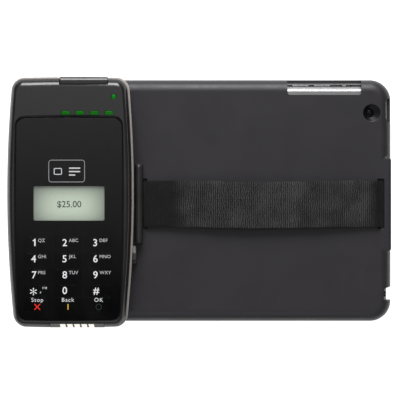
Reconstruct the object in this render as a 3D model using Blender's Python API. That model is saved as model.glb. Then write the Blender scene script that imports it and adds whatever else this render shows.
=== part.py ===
"""A card payment terminal docked on the back of a tablet sleeve with a hand strap.

The sleeve lies with its open front and the tablet's display down. +Z points out of the terminal's face,
+Y to the terminal's top end and +X from the terminal to the far end of the sleeve. The origin is at the
centre of the bounding box's bottom. All the sizes below are in millimetres.
"""
import math

import bmesh
import bpy
from mathutils import Matrix, Vector

MM = 0.001

# Tablet
TABLET_X = 7.2
TABLET_Y = 0.75
TABLET_LENGTH = 200.0
TABLET_HEIGHT = 134.7
TABLET_CORNER = 9.7
GLASS_LOW = 0.5
GLASS_HIGH = 1.2
TABLET_LOW = 1.5
TABLET_HIGH = 7.7
BUTTON_LOW = 3.5
BUTTON_HIGH = 5.1
EDGE_SLOT = 0.3
EDGE_SLOTS = ((51.9, 63.2), (64.4, 75.5), (80.7, 86.9))
VOLUME_UP = (52.2, 62.9)
VOLUME_DOWN = (64.7, 75.2)
MUTE_SWITCH = (81.0, 84.5)
POWER_SLOT = (47.9, 58.6)
POWER_Y = 53.25
POWER_LENGTH = 10.1
HOME_X = -84.8
HOME_R = 5.0
JACK_R = 1.75
JACK_Z = 4.3

# Sleeve
SLEEVE_WALL = 2.0
TABLET_FIT = 0.3
SLEEVE_FILLET = 7.0
FILLET_START = 4.0
SLEEVE_BACK = 10.4
SLEEVE_INSIDE = 8.0
RIM_HIGH = 3.2
SLEEVE_EDGE = 109.5
BUTTON_WINDOW = (49.6, 92.2)
POWER_WINDOW = (46.1, 59.6)
SLOT_LENGTH = 28.6
LEFT_SLOT_WIDTH = 3.0
RIGHT_SLOT_WIDTH = 3.8
ANCHOR_ENDS = (-31.0, 28.0)
CAMERA_X = 98.1
LENS_X = 97.0
CAMERA_Y = 51.2
CAMERA_HOLE_R = 4.8
LENS_R = 2.6
SOCKET_NOTCH = ((105.1, -56.7), (115.0, -56.7), (115.0, -47.8), (108.9, -48.9), (106.3, -49.6), (105.1, -50.9))
SOCKET_Y = -53.2

# Hand strap
STRAP_WIDTH = 27.0
STRAP_Y = -1.4
STRAP_THICK = 1.2
STRAP_LEFT = -32.5
STRAP_RIGHT = 103.3
STRAP_BOW = 3.5
STRAP_END_Z = 9.55
STRAP_BEND_Z = 10.9
STRAP_BEND_R = 2.0
STRAP_LEAVES = math.radians(78)

# Terminal outline
TERMINAL_X = -73.75
TERMINAL_Y = -0.05
HALF_WIDTH = 35.75
HALF_LENGTH = 70.8
WIDEST_AT = 5.4
SIDE_RADIUS = 689.0
END_RADIUS = 900.0
TOP_CORNER = 7.5
BOTTOM_CORNER = 7.0

# Terminal levels
REAR_FACE = 14.3
REAR_FLOOR = 18.3
REAR_RIM = 24.9
TRIM_LOW = 25.2
TRIM_HIGH = 26.6
FRONT_RIM = 26.9
FACE_INSIDE = 34.4
POCKET_FLOOR = 35.7
PANEL_LOW = 36.0
PANEL_HIGH = 36.9
FACE = 37.0

# Face panel
PANEL_HALF_WIDTH = 29.6
PANEL_SIDE_RADIUS = 2000.0
PANEL_TOP = 46.9
PANEL_BOTTOM = -65.7
PANEL_CORNER = 5.0
PANEL_FIT = 0.3
GROOVE_TOP = 0.6
GROOVE_SIDE = 1.0

# Display
DISPLAY_X = -73.75
DISPLAY_Y = -0.85
DISPLAY_WIDTH = 39.7
DISPLAY_HEIGHT = 19.3

# Keys
KEY_COLUMNS = (-91.5, -74.35, -57.2)
KEY_ROWS = (-22.7, -31.7, -40.65, -49.4, -57.25)
KEY_WIDTH = 14.4
KEY_HEIGHT = 5.8
LAST_ROW_HEIGHT = 7.7
KEY_FLANGE = 0.45
KEY_BASE = 34.9
KEY_SHOULDER = 35.6
KEY_GAP = 0.25
KEY_NAMES = (
    ("key_1", "key_2", "key_3"),
    ("key_4", "key_5", "key_6"),
    ("key_7", "key_8", "key_9"),
    ("key_star", "key_0", "key_hash"),
    ("key_cancel", "key_clear", "key_enter"),
)

# Lights
BAR_Y = 49.7
BAR_CENTRES = (-75.6, -67.65, -59.6, -51.4)
BAR_WIDTH = 5.3
BAR_HEIGHT = 2.2
POWER_LIGHT = (-48.8, 58.7)
POWER_LIGHT_R = 1.4

# Scanner and charging contacts
SCANNER_X = -65.6
SCANNER_WIDTH = 26.8
SCANNER_PROFILE = ((65.0, 27.2), (69.9, 27.2), (69.9, 34.2), (69.3, 35.0), (66.4, 35.7), (66.4, 33.6),
                   (65.0, 33.6))
BLOCK_X = -69.5
BLOCK_WIDTH = 30.0
BLOCK_PROFILE = ((-70.6, 27.2), (-66.3, 27.2), (-66.3, 31.2), (-67.7, 31.2), (-67.7, 35.9), (-68.0, 35.9),
                 (-70.6, 29.4))
CONTACT_PITCH = 4.0
CONTACT_WIDTH = 3.1
CONTACT_PLACE = (-69.3, 32.65)
CONTACT_SLOPE = math.radians(68.2)
CONTACT_LENGTH = 6.0

# Inside the terminal
SCREW_X = (-97.05, -47.4)
SCREW_Y = (-16.0, 44.5)
BOSS_R = 2.6
PILOT_R = 1.3
SWIPE_X = -102.95
SWIPE_WIDTH = 1.4
SWIPE_DEPTH = 10.0
CARD_SLOT_X = -72.65
CARD_SLOT_WIDTH = 54.6
CARD_SLOT_LOW = 21.2
CARD_SLOT_HIGH = 22.6

# Dock
PLATE_LOW = 10.7
PLATE_HIGH = 14.0
RAIL_X = (-83.0, -56.0)
RAIL_NECK = 6.0
RAIL_HEAD = 8.4
RAIL_HIGH = 16.1
RAIL_ENDS = (-45.0, 42.0)
COLUMN_LEFT = -37.8
COLUMN_RIGHT = -33.4
COLUMN_ENDS = (-23.5, 21.7)
COLUMN_HIGH = 20.0


# Materials and meshes

def clear_scene():
    for item in list(bpy.data.objects):
        bpy.data.objects.remove(item, do_unlink=True)


def material(name, colour, roughness=0.5, metallic=0.0, alpha=1.0):
    made = bpy.data.materials.new(name)
    made.use_nodes = True
    shader = made.node_tree.nodes["Principled BSDF"]
    shader.inputs["Base Color"].default_value = (*colour, 1.0)
    shader.inputs["Roughness"].default_value = roughness
    shader.inputs["Metallic"].default_value = metallic
    shader.inputs["Alpha"].default_value = alpha
    made.diffuse_color = (*colour, alpha)
    return made


def finish(name, mesh, look, origin=(0, 0, 0), smooth=30):
    """Make the object from a mesh in millimetres, with its origin where it is asked for."""
    bmesh.ops.recalc_face_normals(mesh, faces=mesh.faces)
    bmesh.ops.translate(mesh, verts=mesh.verts, vec=-Vector(origin))
    bmesh.ops.scale(mesh, verts=mesh.verts, vec=(MM, MM, MM))
    data = bpy.data.meshes.new(name)
    mesh.to_mesh(data)
    mesh.free()
    made = bpy.data.objects.new(name, data)
    made.location = Vector(origin) * MM
    bpy.context.scene.collection.objects.link(made)
    if look is not None:
        data.materials.append(look)
        data.shade_smooth()
        data.set_sharp_from_angle(angle=math.radians(smooth))
    return made


def loft(mesh, rings):
    """Join rings of the same number of points, and close both ends."""
    rows = [[mesh.verts.new(point) for point in ring] for ring in rings]
    count = len(rows[0])
    for low, high in zip(rows, rows[1:]):
        for i in range(count):
            j = (i + 1) % count
            mesh.faces.new((low[i], low[j], high[j], high[i]))
    mesh.faces.new(list(reversed(rows[0])))
    mesh.faces.new(rows[-1])


def at_height(outline, z):
    return [(x, y, z) for x, y in outline]


def rounded(cx, cy, width, height, radius, steps=3):
    """A rectangle with round corners, counter-clockwise."""
    points = []
    corners = (
        (width / 2 - radius, height / 2 - radius, 0),
        (-width / 2 + radius, height / 2 - radius, 90),
        (-width / 2 + radius, -height / 2 + radius, 180),
        (width / 2 - radius, -height / 2 + radius, 270),
    )
    for x, y, start in corners:
        for i in range(steps + 1):
            angle = math.radians(start + 90 * i / steps)
            points.append((cx + x + radius * math.cos(angle), cy + y + radius * math.sin(angle)))
    return points


def circle(cx, cy, radius, steps=20):
    turn = 2 * math.pi / steps
    return [(cx + radius * math.cos(turn * i), cy + radius * math.sin(turn * i)) for i in range(steps)]


def corner_curve(start, middle, end, steps):
    """Points after the start of a curve that rounds a corner, up to and with its end."""
    points = []
    for i in range(1, steps + 1):
        t = i / steps
        a = (1 - t) ** 3 + 3 * (1 - t) ** 2 * t * 0.45
        c = t ** 3 + 3 * (1 - t) * t ** 2 * 0.45
        b = 1 - a - c
        points.append(tuple(a * start[k] + b * middle[k] + c * end[k] for k in (0, 1)))
    return points


def barrel(inset, top=HALF_LENGTH, bottom=-HALF_LENGTH, half=HALF_WIDTH, bow=SIDE_RADIUS,
           top_corner=TOP_CORNER, bottom_corner=BOTTOM_CORNER, steps=4, sides=6):
    """The terminal's outline with its bowed sides, counter-clockwise from the lower right."""
    top = top - inset
    bottom = bottom + inset
    upper = max(top_corner - inset, 1.0)
    lower = max(bottom_corner - inset, 1.0)

    def side(y):
        return half - inset - (y - WIDEST_AT) ** 2 / (2 * bow)

    def end(x, level, sign):
        return level - sign * x * x / (2 * END_RADIUS)

    points = []
    for i in range(sides + 1):
        y = bottom + lower + (top - upper - bottom - lower) * i / sides
        points.append((side(y), y))
    wide = side(top)
    points += corner_curve(points[-1], (wide, top), (wide - upper, end(wide - upper, top, 1)), steps)
    points.append((0.0, top))
    points.append((-(wide - upper), end(wide - upper, top, 1)))
    points += corner_curve(points[-1], (-wide, top), (-side(top - upper), top - upper), steps)
    for i in range(1, sides + 1):
        y = top - upper - (top - upper - bottom - lower) * i / sides
        points.append((-side(y), y))
    wide = side(bottom)
    points += corner_curve(points[-1], (-wide, bottom), (-(wide - lower), end(wide - lower, bottom, -1)), steps)
    points.append((0.0, bottom))
    points.append((wide - lower, end(wide - lower, bottom, -1)))
    points += corner_curve(points[-1], (wide, bottom), (side(bottom + lower), bottom + lower), steps)[:-1]
    return [(x + TERMINAL_X, y + TERMINAL_Y) for x, y in points]


def panel_outline(gap=0.0, top=PANEL_TOP):
    return barrel(-gap, top=top - TERMINAL_Y, bottom=PANEL_BOTTOM - TERMINAL_Y, half=PANEL_HALF_WIDTH,
                  bow=PANEL_SIDE_RADIUS, top_corner=PANEL_CORNER, bottom_corner=PANEL_CORNER, steps=3)


def add_block(mesh, x, y, z):
    """A box between two values along each axis."""
    ring = [(x[0], y[0]), (x[1], y[0]), (x[1], y[1]), (x[0], y[1])]
    loft(mesh, [at_height(ring, z[0]), at_height(ring, z[1])])


def add_pillar(mesh, outline, low, high):
    loft(mesh, [at_height(outline, low), at_height(outline, high)])


def add_along_x(mesh, profile, ends):
    """A profile of (y, z) points, drawn out along X."""
    loft(mesh, [[(x, y, z) for y, z in profile] for x in ends])


def add_along_y(mesh, profile, ends):
    """A profile of (x, z) points, drawn out along Y."""
    loft(mesh, [[(x, y, z) for x, z in profile] for y in ends])


def boolean(target, name, mesh, operation):
    tool = finish("tool_" + name, mesh, None)
    tool.hide_render = True
    tool.display_type = "WIRE"
    step = target.modifiers.new(name, "BOOLEAN")
    step.operation = operation
    step.solver = "EXACT"
    step.object = tool


def cut(target, name, mesh):
    boolean(target, name, mesh, "DIFFERENCE")


def join(target, name, mesh):
    boolean(target, name, mesh, "UNION")


# Terminal housings

def make_front_housing():
    body = bmesh.new()
    levels = ((1.0, 0.5, FRONT_RIM), (1.0, 0.5, 30.5), (1.25, 0.6, 33.0), (1.9, 0.9, 34.9), (2.9, 1.3, 36.2),
              (4.0, 1.75, 36.85), (4.6, 2.0, FACE))
    loft(body, [at_height(barrel(inset, top=HALF_LENGTH - lean), z) for inset, lean, z in levels])
    housing = finish("front_housing", body, material("front_housing", (0.035, 0.034, 0.036), 0.45))
    hollow = bmesh.new()
    loft(hollow, [at_height(barrel(inset), z) for inset, z in ((2.8, 26.0), (2.8, 31.5), (3.6, FACE_INSIDE))])
    pocket = ((PANEL_FIT, 0.0, POCKET_FLOOR), (PANEL_FIT, 0.0, POCKET_FLOOR + 0.1), (GROOVE_SIDE, GROOVE_TOP, FACE),
              (GROOVE_SIDE, GROOVE_TOP, 38.0))
    loft(hollow, [at_height(panel_outline(gap, PANEL_TOP + rise), z) for gap, rise, z in pocket])
    cut(housing, "front_hollow", hollow)
    bosses = bmesh.new()
    for x in SCREW_X:
        for y in SCREW_Y:
            add_pillar(bosses, circle(x, y, BOSS_R, 16), 18.6, 35.0)
    join(housing, "front_bosses", bosses)
    openings = bmesh.new()
    for x in SCREW_X:
        for y in SCREW_Y:
            add_pillar(openings, circle(x, y, PILOT_R, 12), 18.0, 27.0)
    add_pillar(openings, rounded(DISPLAY_X, DISPLAY_Y, 40.3, 19.9, 1.0, 2), 33.0, 36.5)
    add_block(openings, (-99.9, -48.8), (-62.3, -18.5), (33.0, 36.5))
    for x in BAR_CENTRES:
        add_pillar(openings, rounded(x, BAR_Y, BAR_WIDTH + 0.5, BAR_HEIGHT + 0.5, 0.7, 2), 33.0, 38.0)
    add_pillar(openings, circle(*POWER_LIGHT, POWER_LIGHT_R + 0.25, 16), 33.0, 38.0)
    wide = SCANNER_WIDTH / 2 + 0.3
    notch = [(64.6, 26.0), (74.0, 26.0), (74.0, 38.0), (66.0, 38.0), (66.0, 34.0), (64.6, 34.0)]
    add_along_x(openings, notch, (SCANNER_X - wide, SCANNER_X + wide))
    wide = BLOCK_WIDTH / 2 + 0.3
    notch = [(-75.0, 26.0), (-65.9, 26.0), (-65.9, 31.6), (-67.4, 31.6), (-67.4, 38.0), (-75.0, 38.0)]
    add_along_x(openings, notch, (BLOCK_X - wide, BLOCK_X + wide))
    cut(housing, "front_openings", openings)


def make_trim_band():
    band = bmesh.new()
    outer = barrel(0.0)
    inner = barrel(2.2)
    rows = []
    for outline, z in ((inner, TRIM_LOW), (outer, TRIM_LOW), (outer, TRIM_HIGH), (inner, TRIM_HIGH)):
        rows.append([band.verts.new((x, y, z)) for x, y in outline])
    count = len(outer)
    for low, high in zip(rows, rows[1:] + rows[:1]):
        for i in range(count):
            j = (i + 1) % count
            band.faces.new((low[i], low[j], high[j], high[i]))
    finish("trim_band", band, material("trim_band", (0.42, 0.4, 0.38), 0.35, 0.6))


def rail_profile(x, extra, low, high):
    """The cross-section of a dock rail, or of the groove around it."""
    neck = RAIL_NECK / 2 + extra
    head = RAIL_HEAD / 2 + extra
    middle = PLATE_HIGH + 1.0
    return [(x - neck, low), (x + neck, low), (x + neck, middle - extra), (x + head, middle + 0.5 - extra),
            (x + head, high), (x - head, high), (x - head, middle + 0.5 - extra), (x - neck, middle - extra)]


def make_rear_housing():
    body = bmesh.new()
    levels = ((6.0, REAR_FACE), (4.0, 14.6), (2.4, 15.6), (1.4, 17.5), (0.9, 20.0), (0.6, REAR_RIM))
    loft(body, [at_height(barrel(inset), z) for inset, z in levels])
    housing = finish("rear_housing", body, material("rear_housing", (0.05, 0.049, 0.052), 0.5))
    hollow = bmesh.new()
    left = SWIPE_X + SWIPE_WIDTH / 2 + 1.2
    right = TERMINAL_X + 29.6
    add_pillar(hollow, rounded((left + right) / 2, 0.4, right - left, 134.0, 3.0), REAR_FLOOR, 26.0)
    for x in RAIL_X:
        add_along_y(hollow, rail_profile(x, 0.35, 13.0, RAIL_HIGH + 0.4), (-75.0, RAIL_ENDS[1] + 4.0))
    cut(housing, "rear_hollow", hollow)
    openings = bmesh.new()
    swipe = (SWIPE_X - SWIPE_WIDTH / 2, SWIPE_X + SWIPE_WIDTH / 2)
    add_block(openings, swipe, (-75.0, 75.0), (13.0, REAR_FACE + SWIPE_DEPTH))
    wide = CARD_SLOT_WIDTH / 2
    add_block(openings, (CARD_SLOT_X - wide, CARD_SLOT_X + wide), (-75.0, -65.0), (CARD_SLOT_LOW, CARD_SLOT_HIGH))
    for x in SCREW_X:
        for y in SCREW_Y:
            loft(openings, [
                at_height(circle(x, y, 2.3, 16), 13.0), at_height(circle(x, y, 2.3, 16), 16.4),
                at_height(circle(x, y, PILOT_R, 16), 16.4), at_height(circle(x, y, PILOT_R, 16), 19.0),
            ])
    add_block(openings, (-43.4, -34.0), (-33.6, -24.6), (13.0, 17.0))
    cut(housing, "rear_openings", openings)
    window = bmesh.new()
    add_block(window, (SWIPE_X + 0.2, left + 1.0), (-5.7, 4.9), (REAR_FLOOR - 0.1, 23.1))
    cut(housing, "rear_head_window", window)


def make_screws():
    steel = material("housing_screw", (0.45, 0.45, 0.46), 0.35, 0.9)
    number = 1
    for y in SCREW_Y:
        for x in SCREW_X:
            screw = bmesh.new()
            profile = ((2.0, 14.6), (2.0, 16.1), (1.0, 16.1), (1.0, 25.5))
            loft(screw, [at_height(circle(x, y, r, 12), z) for r, z in profile])
            made = finish("housing_screw_%d" % number, screw, steel, (x, y, 16.1))
            recess = bmesh.new()
            add_pillar(recess, circle(x, y, 0.9, 6), 14.0, 15.4)
            cut(made, "screw_recess_%d" % number, recess)
            number += 1


# Face panel, display and keys

def make_lens_panel():
    body = bmesh.new()
    add_pillar(body, panel_outline(), PANEL_LOW, PANEL_HIGH)
    panel = finish("lens_panel", body, material("lens_panel", (0.006, 0.006, 0.007), 0.12))
    holes = bmesh.new()
    add_pillar(holes, rounded(DISPLAY_X, DISPLAY_Y, DISPLAY_WIDTH, DISPLAY_HEIGHT, 0.8, 2), 35.0, 38.0)
    for row, y in enumerate(KEY_ROWS):
        height = LAST_ROW_HEIGHT if row == 4 else KEY_HEIGHT
        for x in KEY_COLUMNS:
            outline = rounded(x, y, KEY_WIDTH + 2 * KEY_GAP, height + 2 * KEY_GAP, 1.6)
            add_pillar(holes, outline, 35.0, 38.0)
    cut(panel, "panel_holes", holes)


def make_display():
    window = bmesh.new()
    add_pillar(window, rounded(DISPLAY_X, DISPLAY_Y, 39.2, 18.8, 0.6, 2), 36.05, 36.85)
    finish("display_window", window, material("display_window", (0.55, 0.6, 0.55), 0.08, 0.0, 0.35))
    module = bmesh.new()
    loft(module, [
        at_height(rounded(DISPLAY_X, DISPLAY_Y + 0.1, 45.0, 24.3, 0.8, 2), 31.9),
        at_height(rounded(DISPLAY_X, DISPLAY_Y + 0.1, 45.0, 24.3, 0.8, 2), 34.0),
        at_height(rounded(DISPLAY_X, DISPLAY_Y, 39.6, 19.2, 0.8, 2), 34.0),
        at_height(rounded(DISPLAY_X, DISPLAY_Y, 39.6, 19.2, 0.8, 2), 35.6),
    ])
    finish("lcd_module", module, material("lcd_module", (0.36, 0.41, 0.35), 0.4))


def make_keys():
    colours = {"key_cancel": (0.03, 0.008, 0.008), "key_clear": (0.03, 0.026, 0.008),
               "key_enter": (0.008, 0.022, 0.01)}
    plain = material("key_cap", (0.008, 0.008, 0.009), 0.15)
    for row, y in enumerate(KEY_ROWS):
        height = LAST_ROW_HEIGHT if row == 4 else KEY_HEIGHT
        for column, x in enumerate(KEY_COLUMNS):
            name = KEY_NAMES[row][column]
            look = material(name, colours[name], 0.15) if name in colours else plain
            wide = KEY_WIDTH + 2 * KEY_FLANGE
            high = height + 2 * KEY_FLANGE
            key = bmesh.new()
            loft(key, [
                at_height(rounded(x, y, wide, high, 1.6), KEY_BASE),
                at_height(rounded(x, y, wide, high, 1.6), KEY_SHOULDER),
                at_height(rounded(x, y, KEY_WIDTH, height, 1.4), KEY_SHOULDER),
                at_height(rounded(x, y, KEY_WIDTH, height, 1.4), PANEL_HIGH - 0.15),
                at_height(rounded(x, y, KEY_WIDTH - 0.3, height - 0.3, 1.25), PANEL_HIGH),
            ])
            finish(name, key, look, (x, y, PANEL_HIGH))


def make_keypad_membrane():
    sheet = bmesh.new()
    add_pillar(sheet, rounded(-74.35, -41.3, 54.0, 44.4, 2.0), 33.1, 34.0)
    finish("keypad_membrane", sheet, material("keypad_membrane", (0.2, 0.2, 0.21), 0.7))


# Lights, scanner and charging contacts

def make_lights():
    pipe = bmesh.new()
    middle = (BAR_CENTRES[0] + BAR_CENTRES[3]) / 2
    add_pillar(pipe, rounded(middle, BAR_Y, 30.2, 3.6, 0.8, 2), 32.9, 34.1)
    bar = finish("contactless_light_pipe", pipe, material("contactless_light_pipe", (0.03, 0.3, 0.04), 0.25))
    pips = bmesh.new()
    for x in BAR_CENTRES:
        add_pillar(pips, rounded(x, BAR_Y, BAR_WIDTH, BAR_HEIGHT, 0.5, 2), 33.5, FACE)
    join(bar, "light_pips", pips)
    light = bmesh.new()
    loft(light, [
        at_height(circle(*POWER_LIGHT, POWER_LIGHT_R, 16), 32.9),
        at_height(circle(*POWER_LIGHT, POWER_LIGHT_R, 16), 36.8),
        at_height(circle(*POWER_LIGHT, POWER_LIGHT_R * 0.6, 16), 37.05),
    ])
    finish("power_led", light, material("power_led", (0.05, 0.35, 0.05), 0.3))


def make_scanner():
    ends = (SCANNER_X - SCANNER_WIDTH / 2, SCANNER_X + SCANNER_WIDTH / 2)
    window = bmesh.new()
    add_along_x(window, SCANNER_PROFILE, ends)
    finish("scanner_window", window, material("scanner_window", (0.03, 0.03, 0.032), 0.1))
    engine = bmesh.new()
    add_pillar(engine, rounded(SCANNER_X, 57.0, 22.0, 12.0, 1.0, 2), 19.2, 28.6)
    made = finish("scanner_engine", engine, material("scanner_engine", (0.12, 0.12, 0.13), 0.5))
    eye = bmesh.new()
    add_along_y(eye, circle(SCANNER_X, 24.0, 4.0, 16), (60.5, 70.0))
    cut(made, "scanner_eye", eye)


def sloped_block(mesh, x, width, length, low, high):
    """A box on the sloping face of the charging block; low and high are measured out of the face."""
    turn = Matrix.Rotation(CONTACT_SLOPE, 3, "X")
    place = Vector((x, *CONTACT_PLACE))
    rings = []
    for side in (-width / 2, width / 2):
        corners = ((-length / 2, low), (length / 2, low), (length / 2, high), (-length / 2, high))
        rings.append([place + turn @ Vector((side, along, out)) for along, out in corners])
    loft(mesh, rings)


def make_charging_block():
    ends = (BLOCK_X - BLOCK_WIDTH / 2, BLOCK_X + BLOCK_WIDTH / 2)
    block = bmesh.new()
    add_along_x(block, BLOCK_PROFILE, ends)
    made = finish("charging_block", block, material("charging_block", (0.03, 0.03, 0.03), 0.5))
    slots = bmesh.new()
    for i in range(5):
        sloped_block(slots, BLOCK_X + CONTACT_PITCH * (i - 2), CONTACT_WIDTH + 0.5, CONTACT_LENGTH + 0.6, -0.6, 2.0)
    cut(made, "contact_slots", slots)
    gold = material("charging_contact", (0.8, 0.76, 0.66), 0.25, 0.9)
    for i in range(5):
        x = BLOCK_X + CONTACT_PITCH * (i - 2)
        contact = bmesh.new()
        sloped_block(contact, x, CONTACT_WIDTH, CONTACT_LENGTH, -0.3, 0.1)
        finish("charging_contact_%d" % (i + 1), contact, gold, (x, *CONTACT_PLACE))


# Inside the terminal

def make_main_board():
    board = bmesh.new()
    add_pillar(board, rounded(TERMINAL_X + 1.0, -5.0, 55.0, 114.0, 2.0, 2), 29.5, 31.1)
    made = finish("main_board", board, material("main_board", (0.02, 0.12, 0.05), 0.5))
    chips = bmesh.new()
    add_block(chips, (-84.0, -66.0), (19.0, 35.0), (30.5, 32.4))
    add_block(chips, (-60.0, -51.0), (22.0, 31.0), (30.5, 32.0))
    join(made, "board_chips", chips)
    notches = bmesh.new()
    for x in SCREW_X:
        for y in SCREW_Y:
            add_pillar(notches, circle(x, y, BOSS_R + 0.4, 16), 28.0, 33.0)
    cut(made, "board_notches", notches)


def make_battery():
    cell = bmesh.new()
    add_pillar(cell, rounded(-71.5, 18.0, 40.4, 52.0, 2.5), 18.7, 27.6)
    finish("battery", cell, material("battery", (0.16, 0.17, 0.2), 0.5))


def make_card_reader():
    frame = bmesh.new()
    add_block(frame, (-97.5, -47.5), (-65.8, -21.0), (18.9, 24.6))
    made = finish("card_reader", frame, material("card_reader", (0.1, 0.1, 0.11), 0.5))
    slot = bmesh.new()
    add_block(slot, (-105.0, -40.0), (-75.0, -26.0), (CARD_SLOT_LOW, CARD_SLOT_HIGH))
    cut(made, "reader_slot", slot)


def make_magstripe_head():
    head = bmesh.new()
    inner = SWIPE_X + SWIPE_WIDTH / 2
    outline = [(inner + 0.3, -5.4), (inner + 4.0, -5.4), (inner + 4.0, 4.6), (inner + 0.3, 4.6), (inner - 0.1, 1.0),
               (inner - 0.1, -1.8)]
    add_pillar(head, outline, 18.7, 22.7)
    finish("magstripe_head", head, material("magstripe_head", (0.5, 0.5, 0.5), 0.3, 0.8))


def make_antenna():
    made_of = bmesh.new()
    outer = rounded(-73.75, 27.2, 48.0, 28.0, 3.0)
    inner = rounded(-73.75, 27.2, 42.0, 22.0, 1.5)
    rows = []
    for outline, z in ((inner, 33.2), (outer, 33.2), (outer, 34.0), (inner, 34.0)):
        rows.append([made_of.verts.new((x, y, z)) for x, y in outline])
    count = len(outer)
    for low, high in zip(rows, rows[1:] + rows[:1]):
        for i in range(count):
            j = (i + 1) % count
            made_of.faces.new((low[i], low[j], high[j], high[i]))
    finish("contactless_antenna", made_of, material("contactless_antenna", (0.5, 0.26, 0.12), 0.4, 0.7))


# Sleeve, dock and strap

def tablet_outline(grow, steps=5):
    return rounded(TABLET_X, TABLET_Y, TABLET_LENGTH + 2 * grow, TABLET_HEIGHT + 2 * grow,
                   TABLET_CORNER + grow, steps)


def sleeve_levels():
    """The back edge is a quarter of an ellipse."""
    levels = [(0.0, 0.0)]
    for i in range(6):
        angle = math.radians(18 * i)
        inset = SLEEVE_FILLET * (1 - math.cos(angle))
        levels.append((inset, FILLET_START + (SLEEVE_BACK - FILLET_START) * math.sin(angle)))
    return levels


def anchor_block():
    """The fuller edge around the strap's right slot, which fades into the fillet at both ends."""
    block = bmesh.new()
    sections = []
    for y, full in ((ANCHOR_ENDS[0], 0.0), (ANCHOR_ENDS[0] + 5.0, 1.0), (ANCHOR_ENDS[1] - 5.0, 1.0),
                    (ANCHOR_ENDS[1], 0.0)):
        edge = SLEEVE_EDGE - 4.0 * (1 - full)
        top = SLEEVE_BACK - 0.8 * (1 - full)
        profile = ((97.0, 5.0), (edge, 5.0), (edge, top - 2.0), (edge - 0.6, top - 0.6), (edge - 2.0, top),
                   (97.0, top))
        sections.append([(x, y, z) for x, z in profile])
    loft(block, sections)
    return block


def make_sleeve_shell():
    body = bmesh.new()
    reach = SLEEVE_WALL + TABLET_FIT
    loft(body, [at_height(tablet_outline(reach - inset), z) for inset, z in sleeve_levels()])
    shell = finish("sleeve_shell", body, material("sleeve_shell", (0.042, 0.04, 0.043), 0.6))
    join(shell, "sleeve_anchor_block", anchor_block())
    hollow = bmesh.new()
    inside = ((TABLET_FIT, -1.0), (TABLET_FIT, 5.6), (TABLET_FIT - 0.6, 6.9), (TABLET_FIT - 1.6, 7.6),
              (TABLET_FIT - 3.2, SLEEVE_INSIDE))
    loft(hollow, [at_height(tablet_outline(grow), z) for grow, z in inside])
    cut(shell, "sleeve_hollow", hollow)
    openings = bmesh.new()
    add_block(openings, BUTTON_WINDOW, (61.5, 75.0), (RIM_HIGH, 12.0))
    add_block(openings, (106.2, 115.0), POWER_WINDOW, (RIM_HIGH, 12.0))
    add_pillar(openings, SOCKET_NOTCH, -1.0, 12.0)
    loft(openings, [at_height(circle(x, CAMERA_Y, r, 24), z)
                    for x, r, z in ((LENS_X, 3.0, 7.0), (LENS_X, 3.0, SLEEVE_INSIDE + 0.2),
                                    (CAMERA_X, CAMERA_HOLE_R, SLEEVE_BACK), (CAMERA_X, 5.2, 12.0))])
    for x, wide in ((STRAP_LEFT, LEFT_SLOT_WIDTH), (STRAP_RIGHT, RIGHT_SLOT_WIDTH)):
        slot = rounded(x, STRAP_Y + 0.3, wide, SLOT_LENGTH, 0.6, 2)
        pocket = rounded(x, STRAP_Y + 0.3, wide + 2.2, SLOT_LENGTH + 3.0, 0.6, 2)
        loft(openings, [at_height(pocket, 7.0), at_height(pocket, 9.4), at_height(slot, 9.4), at_height(slot, 12.0)])
    cut(shell, "sleeve_openings", openings)


def make_strap_anchors():
    steel = material("strap_anchor", (0.4, 0.4, 0.41), 0.4, 0.8)
    for name, x, wide in (("strap_anchor_left", STRAP_LEFT, 4.6), ("strap_anchor_right", STRAP_RIGHT, 5.4)):
        plate = bmesh.new()
        add_pillar(plate, rounded(x, STRAP_Y + 0.3, wide, 31.0, 0.5, 2), 8.3, 9.1)
        finish(name, plate, steel)


def strap_path():
    """The middle of the strap's thickness, from the left slot to the right one, as (x, z)."""
    start = [(STRAP_LEFT, STRAP_END_Z)]
    for i in range(5):
        angle = STRAP_LEAVES * i / 4
        start.append((STRAP_LEFT + STRAP_BEND_R * (1 - math.cos(angle)),
                      STRAP_BEND_Z + STRAP_BEND_R * math.sin(angle)))
    low_x, low_z = start[-1]
    middle = (STRAP_LEFT + STRAP_RIGHT) / 2
    half = middle - low_x
    points = list(start)
    for i in range(1, 18):
        x = low_x + 2 * half * i / 18
        points.append((x, low_z + STRAP_BOW * (1 - ((x - middle) / half) ** 2)))
    points += [(2 * middle - x, z) for x, z in reversed(start)]
    return points


def make_hand_strap():
    path = strap_path()
    band = bmesh.new()
    rings = []
    for i, (x, z) in enumerate(path):
        before = path[max(i - 1, 0)]
        after = path[min(i + 1, len(path) - 1)]
        along = Vector((after[0] - before[0], 0, after[1] - before[1])).normalized()
        out = Vector((-along.z, 0, along.x)) * STRAP_THICK / 2
        middle = Vector((x, STRAP_Y, z))
        across = Vector((0, STRAP_WIDTH / 2, 0))
        rings.append([middle - across - out, middle + across - out, middle + across + out, middle - across + out])
    loft(band, rings)
    finish("hand_strap", band, material("hand_strap", (0.03, 0.03, 0.031), 0.85))


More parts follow.
